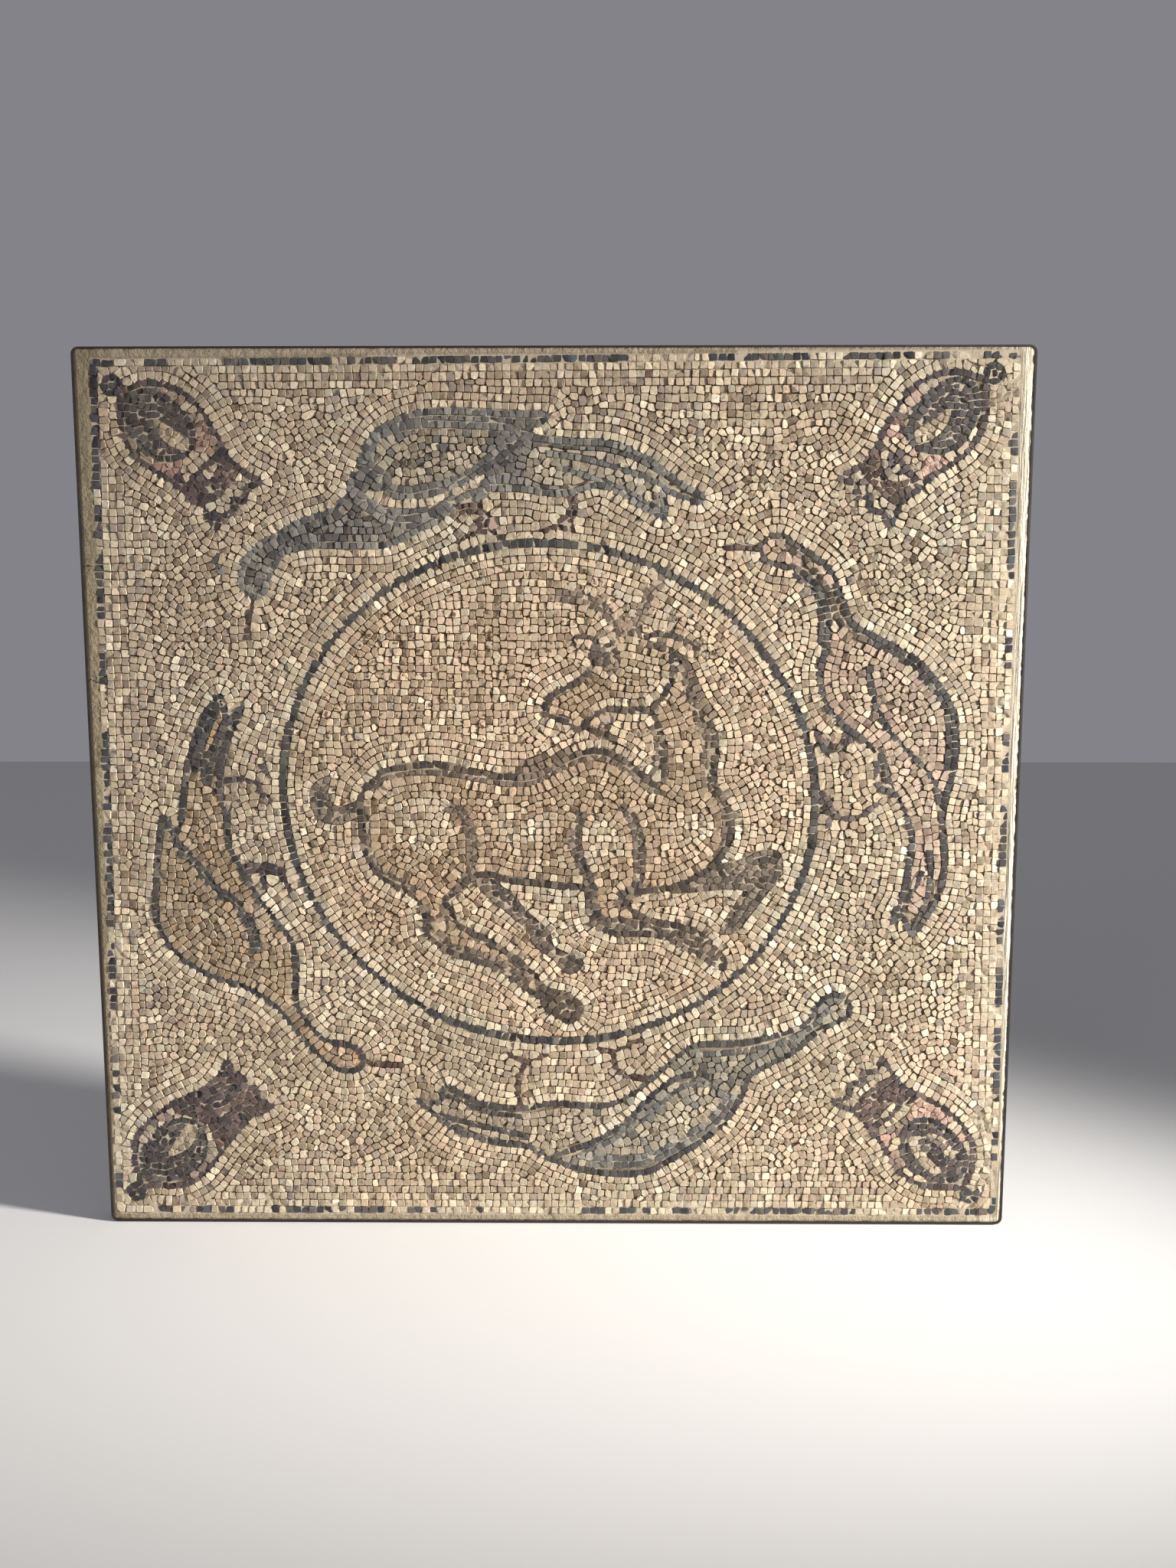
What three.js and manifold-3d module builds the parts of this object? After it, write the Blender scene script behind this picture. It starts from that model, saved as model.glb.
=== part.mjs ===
// A square piece of floor mosaic set in a cast panel that is fixed to a wall: an antelope in a ring,
// four ducks walking round it and a bud in each corner. X runs to the right, Z up, and the picture
// faces -Y. The origin is the middle of the flat back. Every group of stones of one colour is a slab
// of stone depth that is let into the mortar bed, flush with its margin.
import * as THREE from 'three';
import { mergeVertices } from 'three/addons/utils/BufferGeometryUtils.js';
import Module from 'manifold-3d';

// Driving dimensions in millimetres
const panelWidth = 1450;
const panelHeight = 1380;
const panelDepth = 40;
const bandThickness = 3; // metal edging round the casting
const cornerRadius = 11;
const stoneDepth = 10;
const borderRow = 11.5; // one row of mixed stones round the picture
const ringRow = 12; // the dark ring round the antelope
const outlineRow = 11; // one row of dark stones
const doubleRow = 19; // two rows laid side by side
const legRow = 10;
const stemRadius = 17;
const clearance = 0.3; // between pieces that touch
const marginLeftTop = 27; // bare mortar between the edging and the border row
const marginLeftFoot = 9;
const marginRightTop = 24;
const marginRightFoot = 9;
const marginTopLeft = 18;
const marginTopRight = 8;
const marginFoot = 14.5;

const stemFromSide = 43; // the panel's edge to the outermost stem, where the picture ends
const stemFromTop = 41;
const chordError = 2.4; // how far a straight side may leave the drawn curve
const ringChordError = 1.5;

// The picture is one drawing that is stretched to the panel, and only its proportions count
const ring = [
  [408, -5], [394, 97], [352, 193], [286, 276], [200, 341], [100, 383], [-8, 399], [-116, 389],
  [-216, 352], [-302, 293], [-368, 213], [-410, 120], [-424, 19], [-410, -83], [-368, -179], [-302, -262],
  [-216, -327], [-116, -369], [-8, -385], [100, -375], [200, -338], [286, -279], [352, -199], [394, -106],
];

const antelope = {
  outline: [
    [-300, 16], [-284, 32], [-267, 48], [-243, 53], [-186, 59], [-123, 47], [-80, 40], [-37, 40],
    [-11, 49], [27, 71], [59, 81], [91, 76], [123, 57], [150, 32], [168, 28], [173, 52], [171, 79],
    [168, 105], [157, 132], [150, 143], [118, 143], [86, 146], [59, 132], [37, 111], [27, 123],
    [1, 132], [-14, 141], [-7, 162], [20, 179], [50, 196], [64, 220], [86, 243], [107, 253],
    [127, 250], [150, 244], [182, 236], [196, 210], [206, 187], [217, 164], [228, 145], [242, 126],
    [252, 100], [252, 74], [248, 49], [252, 26], [264, 8], [274, -12], [279, -32], [277, -53],
    [271, -73], [259, -91], [249, -101], [217, -121], [182, -136], [136, -142], [123, -147],
    [113, -158], [118, -169], [134, -179], [151, -189], [172, -194], [215, -202], [235, -212],
    [250, -230], [262, -242], [268, -268], [256, -262], [232, -244], [207, -233], [190, -223],
    [169, -213], [146, -209], [98, -209], [78, -202], [64, -195], [56, -177], [54, -154],
    [50, -136], [20, -134], [-31, -128], [-73, -123], [-97, -115], [-128, -118], [-150, -138],
    [-172, -157], [-164, -173], [-155, -194], [-134, -206], [-101, -222], [-64, -248], [-34, -274],
    [-22, -290], [-13, -302], [4, -306], [30, -315], [43, -334], [27, -353], [8, -346], [-8, -337],
    [-17, -323], [-29, -308], [-43, -302], [-59, -290], [-92, -267], [-125, -253], [-162, -241],
    [-190, -224], [-202, -211], [-205, -193], [-207, -175], [-214, -159], [-225, -147],
    [-254, -132], [-284, -111], [-293, -93], [-300, -75], [-302, -34], [-304, -2],
  ],
  lines: {
    haunch: [[-164, -2], [-134, -14], [-123, -48], [-121, -68], [-125, -102], [-128, -118]],
    shoulderBack: [[34, -20], [29, -60], [41, -98], [50, -136]],
    shoulderFront: [[117, -7], [130, -27], [139, -73], [138, -110], [136, -142]],
    cheek: [[182, 236], [185, 200], [172, 168], [150, 143]],
    beard: [[37, 111], [48, 121], [65, 108], [99, 99]],
  },
  doubleLines: {
    leftHorn: [[3, 320], [30, 318], [62, 310], [85, 293], [98, 272], [107, 253]],
    rightHorn: [[170, 347], [155, 330], [142, 313], [136, 292], [127, 273], [126, 250]],
  },
  solids: {
    leftEar: [[14, 254], [35, 260], [62, 260], [90, 246], [62, 238], [40, 239], [27, 245]],
    rightEar: [
      [140, 248], [158, 260], [185, 260], [205, 254], [228, 231], [208, 224], [190, 234],
      [182, 236],
    ],
    tail: [
      [-350, 41], [-363, 38], [-375, 29], [-383, 16], [-383, 2], [-379, -14], [-370, -27],
      [-354, -34], [-336, -36], [-318, -28], [-302, -20], [-302, 5], [-313, 1], [-327, -5],
      [-340, -7], [-349, 0], [-354, 12], [-352, 24],
    ],
    farHindLeg: [
      [-108, -118], [-92, -124], [-76, -138], [-57, -157], [-38, -178], [-20, -194], [-6, -211],
      [-1, -229], [20, -241], [46, -257], [27, -276], [6, -264], [-3, -250], [-22, -239],
      [-36, -222], [-43, -206], [-55, -194], [-73, -178], [-97, -159], [-118, -140], [-124, -120],
    ],
    farForeleg: [
      [182, -134], [217, -121], [249, -101], [301, -88], [316, -79], [336, -74], [352, -78],
      [359, -93], [358, -111], [349, -128], [336, -144], [308, -182], [290, -205], [262, -211],
      [264, -196], [276, -177], [288, -156], [298, -140], [255, -140], [182, -143],
    ],
  },
};

const ducks = {
  top: {
    outline: [
      [-462, 318], [-478, 330], [-478, 354], [-462, 384], [-440, 402], [-406, 422], [-374, 436],
      [-340, 447], [-316, 468], [-306, 492], [-294, 522], [-272, 556], [-240, 580], [-198, 593],
      [-130, 594], [-51, 590], [-6, 588], [-42, 562], [25, 550], [84, 547], [131, 532],
      [172, 505], [200, 483], [229, 468], [222, 460], [196, 468], [168, 477], [170, 438], [122, 462],
      [72, 486], [31, 476], [-4, 473], [-42, 480], [-98, 480], [-121, 474], [-150, 458],
      [-172, 436], [-217, 413], [-251, 398], [-302, 395], [-352, 396], [-397, 391], [-416, 382],
      [-428, 363], [-439, 343], [-446, 322],
    ],
    lines: {
      wing: [
        [-294, 522], [-262, 500], [-248, 480], [-222, 473], [-190, 478], [-150, 490],
        [-106, 514], [-42, 562],
      ],
    },
    thinLines: {
      beak: [[-462, 318], [-472, 252]],
      leftLeg: [[-105, 478], [-101, 440], [-112, 419], [-143, 403]],
      leftToe: [[-112, 419], [-82, 413]],
      rightLeg: [[22, 474], [31, 452], [22, 434], [8, 424], [-24, 414]],
      rightToe: [[8, 424], [33, 417]],
    },
  },
  right: {
    outline: [
      [316, 390], [323, 404], [345, 410], [367, 399], [399, 379], [420, 362], [434, 336],
      [447, 304], [458, 280], [484, 263], [525, 242], [563, 219], [593, 186], [616, 148],
      [624, 101], [621, 48], [606, -20], [611, -67], [612, -110], [602, -158], [590, -178],
      [566, -210], [548, -180], [532, -190], [548, -151], [557, -100], [561, -58], [549, -17],
      [530, 15], [508, 25], [503, 50], [500, 72], [484, 96], [449, 122], [420, 157], [411, 198],
      [420, 242], [423, 280], [414, 313], [399, 339], [373, 360], [338, 367], [322, 376],
    ],
    lines: {
      wing: [[487, 213], [489, 186], [505, 137], [537, 93], [563, 69], [592, 34], [606, -20]],
      tail: [[588, -74], [590, -120], [580, -165], [566, -210]],
    },
    thinLines: {
      beak: [[258, 391], [316, 390]],
      upperLeg: [[460, 112], [457, 94], [446, 81], [424, 87], [411, 96]],
      lowerLeg: [[508, 25], [497, -10], [467, -26], [440, -21], [426, 0]],
    },
  },
  bottom: {
    outline: [
      [448, -306], [463, -314], [471, -329], [467, -343], [448, -354], [414, -375], [381, -403],
      [338, -427], [312, -444], [301, -473], [279, -513], [243, -547], [203, -574], [154, -602],
      [98, -607], [39, -599], [-10, -580], [-41, -562], [-102, -553], [-163, -532], [-206, -498],
      [-222, -483], [-190, -489], [-173, -461], [-151, -473], [-108, -492], [-53, -498],
      [-4, -489], [39, -492], [88, -491], [141, -461], [187, -418], [218, -395], [261, -390],
      [310, -387], [356, -375], [402, -354], [420, -323], [433, -311],
    ],
    lines: {
      wing: [
        [258, -446], [227, -439], [187, -452], [148, -485], [111, -522], [57, -556], [-10, -580],
      ],
      tail: [[-190, -489], [-151, -519], [-96, -532]],
    },
    thinLines: {
      beak: [[462, -316], [472, -286], [484, -263]],
      rightLeg: [[154, -451], [111, -440], [95, -425], [97, -399]],
      rightToe: [[97, -399], [130, -387]],
      leftLeg: [[-53, -498], [-59, -449], [-52, -430], [-41, -421], [-12, -407]],
      leftToe: [[-41, -421], [-78, -407]],
    },
  },
  left: {
    outline: [
      [-308, -420], [-315, -432], [-345, -434], [-370, -419], [-398, -387], [-427, -352],
      [-456, -320], [-494, -298], [-539, -283], [-584, -259], [-616, -224], [-632, -182],
      [-629, -131], [-624, -75], [-612, -22], [-600, -56], [-588, -38], [-582, 0], [-573, 55],
      [-558, 99], [-537, 144], [-519, 167], [-506, 128], [-484, 147], [-506, 102], [-520, 60],
      [-523, 10], [-513, -30], [-512, -69], [-494, -109], [-472, -147], [-440, -192],
      [-418, -224], [-412, -272], [-414, -320], [-395, -358], [-366, -386], [-325, -394],
      [-310, -405],
    ],
    lines: {
      wing: [
        [-600, -56], [-568, -97], [-533, -141], [-498, -170], [-478, -205], [-472, -243],
      ],
      tail: [[-549, 30], [-534, 80], [-506, 128]],
    },
    thinLines: {
      beak: [[-308, -420], [-242, -426]],
      upperLeg: [[-521, 35], [-484, 33], [-464, 30], [-456, 15], [-446, 4]],
      lowerLeg: [[-494, -109], [-469, -103], [-445, -106], [-422, -114]],
      lowerToe: [[-469, -103], [-457, -138]],
    },
  },
};

// A bud in its own frame: u runs from the stem to the open end, v across
const budLength = 267; // on the drawing, stem to open end
const knobSides = 8;
const bud = {
  outline: [
    [14, 0], [22, 14], [34, 36], [63, 61], [99, 70], [135, 68], [176, 56], [214, 44], [250, 46],
    [274, 52], [262, 30], [274, 12], [258, 0], [274, -14], [262, -32], [272, -54], [252, -50],
    [236, -41], [204, -45], [165, -47], [143, -52], [103, -57], [65, -46], [44, -28], [30, -12],
  ],
  leaf: [
    [34, 10], [60, 36], [95, 44], [125, 38], [155, 16], [158, 0], [150, -16], [120, -30],
    [90, -36], [62, -30], [40, -12],
  ],
  collar: [[196, 50], [196, 24], [190, 0], [192, -24], [196, -46]],
};
const buds = {
  topLeft: { stem: [-666, 634], open: [-483, 459] },
  topRight: { stem: [662, 649], open: [476, 463] },
  bottomLeft: { stem: [-682, -640], open: [-496, -460] },
  bottomRight: { stem: [672, -640], open: [491, -450] },
};

const stoneColours = {
  ground: '#c2ab8a', dark: '#45434a', tan: '#a8896b', grey: '#77726a', pinkish: '#c4a284',
  purple: '#574850', mixed: '#6f6660', mortar: '#a5947a', band: '#2e2d2e',
};

const wasm = await Module();
wasm.setup();

// The depth of the stones, and a cutter that passes through it
const face = -panelDepth;
const stones = { front: face, back: face + stoneDepth };
const cutter = { front: face - stoneDepth, back: face + 2 * stoneDepth };

function solidOf(geometry) {
  geometry.deleteAttribute('normal');
  geometry.deleteAttribute('uv');
  const merged = mergeVertices(geometry);
  return new wasm.Manifold(new wasm.Mesh({
    numProp: 3,
    vertProperties: merged.attributes.position.array,
    triVerts: Uint32Array.from(merged.index.array),
  }));
}

// An upright slab: the points are x and z, and its thickness runs from span.front to span.back
function slab(points, span) {
  const shape = new THREE.Shape(points.map(([x, z]) => new THREE.Vector2(x, z)));
  const depth = span.back - span.front;
  const geometry = new THREE.ExtrudeGeometry(shape, { depth, bevelEnabled: false });
  geometry.rotateX(Math.PI / 2);
  geometry.translate(0, span.back, 0);
  return solidOf(geometry);
}

// The drawing's reach to each side and upward is that of the outermost stem
const stems = Object.values(buds).map(({ stem }) => stem);
const reach = [0, 1].map((k) => Math.max(...stems.map((stem) => Math.abs(stem[k]))));

function onPanel([x, z]) {
  return [
    x * (panelWidth / 2 - stemFromSide) / reach[0],
    z * (panelHeight / 2 - stemFromTop) / reach[1],
  ];
}

// Keeps the points of a polyline that its shape needs
function thinned(points, error) {
  if (points.length < 3) return points;
  const [ax, az] = points[0];
  const [bx, bz] = points[points.length - 1];
  const length = Math.hypot(bx - ax, bz - az) || 1;
  const off = points.map(([x, z]) => Math.abs((x - ax) * (bz - az) - (z - az) * (bx - ax)) / length);
  const worst = off.indexOf(Math.max(...off.slice(1, -1)));
  if (off[worst] < error) return [points[0], points[points.length - 1]];
  return [
    ...thinned(points.slice(0, worst + 1), error).slice(0, -1),
    ...thinned(points.slice(worst), error),
  ];
}

// A smooth line through drawn points, as few straight sides
function drawn(points, closed = false, error = chordError) {
  const knots = points.map(onPanel).map(([x, z]) => new THREE.Vector3(x, z, 0));
  const curve = new THREE.CatmullRomCurve3(knots, closed, 'centripetal');
  const steps = 6 * (closed ? knots.length : knots.length - 1);
  const fine = curve.getPoints(steps).map((point) => [point.x, point.y]);
  if (!closed) return thinned(fine, error);
  const half = Math.floor(steps / 2);
  const there = thinned(fine.slice(0, half + 1), error);
  const back = thinned(fine.slice(half), error);
  return [...there.slice(0, -1), ...back.slice(0, -1)];
}

// The points beside a line at a distance, square to it and drawn out at its bends
function beside(points, distance, closed) {
  const count = points.length;
  return points.map(([x, z], i) => {
    const before = points[closed ? (i + count - 1) % count : Math.max(i - 1, 0)];
    const after = points[closed ? (i + 1) % count : Math.min(i + 1, count - 1)];
    const arrive = new THREE.Vector2(x - before[0], z - before[1]).normalize();
    const leave = new THREE.Vector2(after[0] - x, after[1] - z).normalize();
    const along = arrive.clone().add(leave).normalize();
    const straight = arrive.lengthSq() && leave.lengthSq() ? along.dot(arrive) : 1;
    const reach = distance / Math.max(straight, 0.75);
    return [x - along.y * reach, z + along.x * reach];
  });
}

// The corners in the order of a convex outline, whatever way a tight bend has crossed them
function convex(corners) {
  const middle = [0, 1].map((k) => corners.reduce((sum, corner) => sum + corner[k], 0) / corners.length);
  const angle = ([x, z]) => Math.atan2(z - middle[1], x - middle[0]);
  return [...corners].sort((a, b) => angle(a) - angle(b));
}

// A row of stones along a line
function row(points, width, span, closed = false) {
  const left = beside(points, width / 2, closed);
  const right = beside(points, -width / 2, closed);
  const count = closed ? points.length : points.length - 1;
  const pieces = [];
  for (let i = 0; i < count; i += 1) {
    const next = (i + 1) % points.length;
    pieces.push(slab(convex([left[i], left[next], right[next], right[i]]), span));
  }
  return wasm.Manifold.union(pieces);
}

function largest(solid) {
  return solid.decompose().sort((a, b) => b.volume() - a.volume())[0];
}

// Everything dark in a figure, as rows and filled shapes, spread by the clearance where it cuts
function strokes(figure, spread, span) {
  const rows = [row(drawn(figure.outline, true), outlineRow + 2 * spread, span, true)];
  const groups = [[figure.lines, outlineRow], [figure.doubleLines, doubleRow], [figure.thinLines, legRow]];
  for (const [lines = {}, width] of groups) {
    for (const points of Object.values(lines)) rows.push(row(drawn(points), width + 2 * spread, span));
  }
  for (const points of Object.values(figure.solids ?? {})) {
    const edge = drawn(points, true);
    rows.push(slab(edge, span));
    if (spread > 0) rows.push(row(edge, 2 * spread, span, true));
  }
  return wasm.Manifold.union(rows);
}

const model = new THREE.Group();

function add(name, solid, colour, metalness = 0, roughness = 0.85) {
  const mesh = solid.getMesh();
  const geometry = new THREE.BufferGeometry();
  geometry.setAttribute('position', new THREE.BufferAttribute(mesh.vertProperties, 3));
  geometry.setIndex(new THREE.BufferAttribute(mesh.triVerts, 1));
  geometry.computeVertexNormals();
  const material = new THREE.MeshStandardMaterial({ color: stoneColours[colour], metalness, roughness });
  const part = new THREE.Mesh(geometry, material);
  part.name = name;
  model.add(part);
}

// Adds a figure's dark stones and its filling within an area, and returns what the ground leaves free
function addFigure(name, figure, fills, area) {
  const inside = slab(drawn(figure.outline, true), stones).intersect(area);
  add(`${name}_outline`, largest(strokes(figure, 0, stones).intersect(area)), 'dark');
  const cut = strokes(figure, clearance, cutter);
  const areas = inside.subtract(cut).decompose().sort((a, b) => b.volume() - a.volume());
  fills.forEach(([fill, colour], i) => add(`${name}_${fill}`, areas[i], colour));
  return wasm.Manifold.union([cut, slab(drawn(figure.outline, true), cutter)]);
}

function addBud(name, { stem, open }, area) {
  const angle = Math.atan2(open[1] - stem[1], open[0] - stem[0]);
  const scale = Math.hypot(open[0] - stem[0], open[1] - stem[1]) / budLength;
  // The fuller side of every bud is the upper one
  const side = Math.cos(angle) > 0 ? scale : -scale;
  const place = ([u, v]) => [
    stem[0] + scale * u * Math.cos(angle) - side * v * Math.sin(angle),
    stem[1] + scale * u * Math.sin(angle) + side * v * Math.cos(angle),
  ];
  const figure = { outline: bud.outline.map(place), lines: { collar: bud.collar.map(place) } };
  const [stemX, stemZ] = onPanel(stem);
  const knob = (radius) => Array.from({ length: knobSides }, (_, i) => {
    const turn = 2 * Math.PI * (i + 0.5) / knobSides;
    return [stemX + radius * Math.cos(turn), stemZ + radius * Math.sin(turn)];
  });
  const leafEdge = drawn(bud.leaf.map(place), true);
  const dark = strokes(figure, 0, stones).add(slab(knob(stemRadius), stones)).intersect(area);
  const darkCut = strokes(figure, clearance, cutter).add(slab(knob(stemRadius + clearance), cutter));
  const leafCut = slab(leafEdge, cutter).add(row(leafEdge, 2 * clearance, cutter, true));
  const inside = slab(drawn(figure.outline, true), stones);
  add(`${name}_outline`, largest(dark), 'dark');
  add(`${name}_leaf`, slab(leafEdge, stones).subtract(darkCut), 'purple');
  const areas = inside.subtract(darkCut).subtract(leafCut).decompose();
  areas.sort((a, b) => b.volume() - a.volume());
  add(`${name}_flesh`, areas[0], 'pinkish');
  add(`${name}_mouth`, areas[1], 'purple');
  return darkCut.add(slab(drawn(figure.outline, true), cutter));
}

// Casting, edging and border row
function roundedRectangle(inset, radius) {
  const x = panelWidth / 2 - inset;
  const z = panelHeight / 2 - inset;
  const shape = new THREE.Shape();
  shape.moveTo(x - radius, -z);
  shape.absarc(x - radius, -z + radius, radius, -Math.PI / 2, 0);
  shape.absarc(x - radius, z - radius, radius, 0, Math.PI / 2);
  shape.absarc(-x + radius, z - radius, radius, Math.PI / 2, Math.PI);
  shape.absarc(-x + radius, -z + radius, radius, Math.PI, 1.5 * Math.PI);
  return shape.getPoints(3).map((point) => [point.x, point.y]);
}

// The picture's four corners, moved in by an inset
function field(inset) {
  const x = panelWidth / 2 - inset;
  const z = panelHeight / 2 - inset;
  return [
    [-x + marginLeftFoot, -z + marginFoot], [x - marginRightFoot, -z + marginFoot],
    [x - marginRightTop, z - marginTopRight], [-x + marginLeftTop, z - marginTopLeft],
  ];
}

const whole = { front: face, back: 0 };
const band = slab(roundedRectangle(0, cornerRadius), whole)
  .subtract(slab(roundedRectangle(bandThickness, cornerRadius - bandThickness),
    { front: face - 1, back: 1 }));
add('edge_band', band, 'band', 0.7, 0.5);

const bedInset = bandThickness + clearance;
const pocket = slab(field(0), { front: cutter.front, back: stones.back + clearance });
const bed = slab(roundedRectangle(bedInset, cornerRadius - bedInset), whole).subtract(pocket);
add('mortar_bed', bed, 'mortar');

const borderInner = clearance + borderRow;
const border = slab(field(clearance), stones).subtract(slab(field(borderInner), cutter));
add('border_row', border, 'mixed');
const outerField = slab(field(borderInner + clearance), stones);

const ringLine = drawn(ring, true, ringChordError);
add('ring', row(ringLine, ringRow, stones, true), 'dark');
const ringCut = row(ringLine, ringRow + 2 * clearance, cutter, true);

const medallion = slab(ringLine, stones).subtract(ringCut);
const antelopeCut = addFigure('antelope', antelope, [['body', 'tan'], ['head', 'tan']], medallion);
add('medallion_ground', largest(medallion.subtract(antelopeCut)), 'ground');

const outside = outerField.subtract(ringCut).subtract(slab(ringLine, cutter));
const figureCuts = [
  addFigure('top_duck', ducks.top, [['body', 'grey'], ['wing', 'grey']], outside),
  addFigure('right_duck', ducks.right, [['body', 'pinkish']], outside),
  addFigure('bottom_duck', ducks.bottom, [['body', 'grey']], outside),
  addFigure('left_duck', ducks.left, [['body', 'tan']], outside),
  addBud('top_left_bud', buds.topLeft, outside),
  addBud('top_right_bud', buds.topRight, outside),
  addBud('bottom_left_bud', buds.bottomLeft, outside),
  addBud('bottom_right_bud', buds.bottomRight, outside),
];
add('outer_ground', largest(outside.subtract(wasm.Manifold.union(figureCuts))), 'ground');

export default model;
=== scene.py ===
import bpy
import math
import numpy as np
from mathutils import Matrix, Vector


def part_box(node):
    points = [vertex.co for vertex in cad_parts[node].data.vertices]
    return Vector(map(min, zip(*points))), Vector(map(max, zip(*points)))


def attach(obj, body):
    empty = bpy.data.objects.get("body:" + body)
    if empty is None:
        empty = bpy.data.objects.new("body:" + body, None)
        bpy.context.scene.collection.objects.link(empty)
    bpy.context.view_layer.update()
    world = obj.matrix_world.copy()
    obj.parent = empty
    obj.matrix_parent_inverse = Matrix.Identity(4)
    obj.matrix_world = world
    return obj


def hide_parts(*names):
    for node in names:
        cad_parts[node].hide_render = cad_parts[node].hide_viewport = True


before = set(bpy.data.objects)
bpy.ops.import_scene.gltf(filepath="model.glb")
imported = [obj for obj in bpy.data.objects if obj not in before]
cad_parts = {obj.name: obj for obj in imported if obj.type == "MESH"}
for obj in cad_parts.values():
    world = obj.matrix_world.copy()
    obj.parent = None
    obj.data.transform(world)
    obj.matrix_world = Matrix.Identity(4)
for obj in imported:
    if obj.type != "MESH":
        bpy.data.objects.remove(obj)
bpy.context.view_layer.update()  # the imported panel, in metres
rng = np.random.default_rng(11)
bpy.ops.object.select_all(action="DESELECT")
bandLow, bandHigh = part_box("edge_band")
bedLow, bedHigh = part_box("mortar_bed")
faceY = bandLow[1]  # the picture faces -Y
mm = 0.001

# Stone colours, judged, each with its share
stoneColours = {
    "ground": [("#c3b399", 3), ("#b9a88f", 3), ("#ae9d85", 2.4), ("#cbbea5", 1.5), ("#b8a38c", 0.9),
               ("#a5927d", 1.2), ("#9d9080", 0.9), ("#897764", 0.15)],
    "medallion": [("#c6b296", 3), ("#bca78d", 3), ("#c0a890", 2), ("#b19d84", 1.8), ("#cebfa6", 1.2),
                  ("#a8927b", 0.9)],
    "pale": [("#c8b99f", 3), ("#beae93", 3), ("#b2a28a", 2), ("#d0c3ac", 1)],
    "ringDark": [("#3b3a3c", 3), ("#474644", 3), ("#343334", 2), ("#524e4a", 1.4), ("#474041", 1.4),
                 ("#676157", 0.5)],
    "charcoal": [("#413f40", 3), ("#4c4a48", 2.4), ("#373535", 2), ("#57534d", 1.4), ("#483f40", 1.5)],
    "purple": [("#483f41", 3), ("#534746", 3), ("#3d3738", 2), ("#625652", 1.4), ("#3b3a3a", 1)],
    "outlineBrown": [("#54493f", 3), ("#484039", 3), ("#62564a", 2), ("#3f3936", 1.5), ("#6f6253", 1)],
    "softBrown": [("#827160", 3), ("#736355", 3), ("#917e6b", 2), ("#66584b", 1.2)],
    "midBrown": [("#6f6255", 3), ("#7b6d5f", 2.4), ("#645849", 2), ("#85765f", 1)],
    "legBrown": [("#5a4f46", 3), ("#685b50", 3), ("#4a433d", 2), ("#786a5c", 1.5), ("#8c7c69", 0.7)],
    "hide": [("#b09a80", 3), ("#a28c73", 3), ("#bba68c", 2), ("#958068", 1.4), ("#c1ad92", 1)],
    "hidePale": [("#c8b79d", 3), ("#bfad93", 2), ("#d1c1a8", 1.2), ("#b4a289", 1)],
    "feather": [("#686661", 3), ("#75726c", 3), ("#5a5957", 2), ("#817d73", 1.4), ("#4c4b4a", 1)],
    "featherMid": [("#817b6f", 3), ("#8f8879", 2.4), ("#747067", 2), ("#a0967f", 1.4), ("#65625d", 1)],
    "featherPale": [("#a59984", 3), ("#968b77", 3), ("#b3a892", 2), ("#867d6f", 1)],
    "rose": [("#b09a86", 3), ("#a5907d", 3), ("#baa792", 2), ("#9b8677", 1.2), ("#b4a38a", 1)],
    "ochre": [("#a7937a", 3), ("#99866e", 3), ("#b29f86", 2), ("#a1876a", 1), ("#8b7965", 1)],
    "redBrown": [("#4e3d38", 3), ("#5a4741", 3), ("#423532", 2), ("#695349", 1)],
    "flesh": [("#ad9c86", 3), ("#a08f7c", 3), ("#b9aa92", 2), ("#a48979", 1.4), ("#786a64", 1.2),
              ("#584e50", 0.8)],
    "blush": [("#a08376", 3), ("#8f7268", 2), ("#ae9384", 2), ("#7a625c", 1)],
    "leafDark": [("#453f40", 3), ("#4e4747", 3), ("#3b3738", 2), ("#5b5350", 1.5), ("#484041", 1.4)],
    "rosy": [("#b39283", 3), ("#a5867a", 2), ("#bea28f", 2)],
    "wine": [("#514342", 3), ("#5f4e4c", 3), ("#443a3a", 2), ("#715d56", 1.2), ("#3b393c", 1)],
    "mouthPale": [("#aea089", 3), ("#9e917c", 2), ("#bcaf98", 2), ("#6b615b", 0.9), ("#454248", 0.5)],
    "honey": [("#a3937b", 3), ("#93846e", 2), ("#b3a389", 2)],
    "mixed": [("#434147", 3), ("#504c4c", 2), ("#39383c", 2), ("#635b56", 1), ("#4a4f50", 1)],
}

# The figures, in millimetres from the panel's middle: x to the right and z up. The ring leans a little
ringShape = {"middle": (-8, 7), "across": 416, "up": 392, "lean": 0.03, "points": 24}
ring = []
for k in range(ringShape["points"]):
    turn = 2 * math.pi * k / ringShape["points"]
    x = ringShape["middle"][0] + ringShape["across"] * math.cos(turn)
    z = ringShape["middle"][1] + ringShape["up"] * (math.sin(turn) - ringShape["lean"] * math.cos(turn))
    ring.append((round(x), round(z)))

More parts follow.
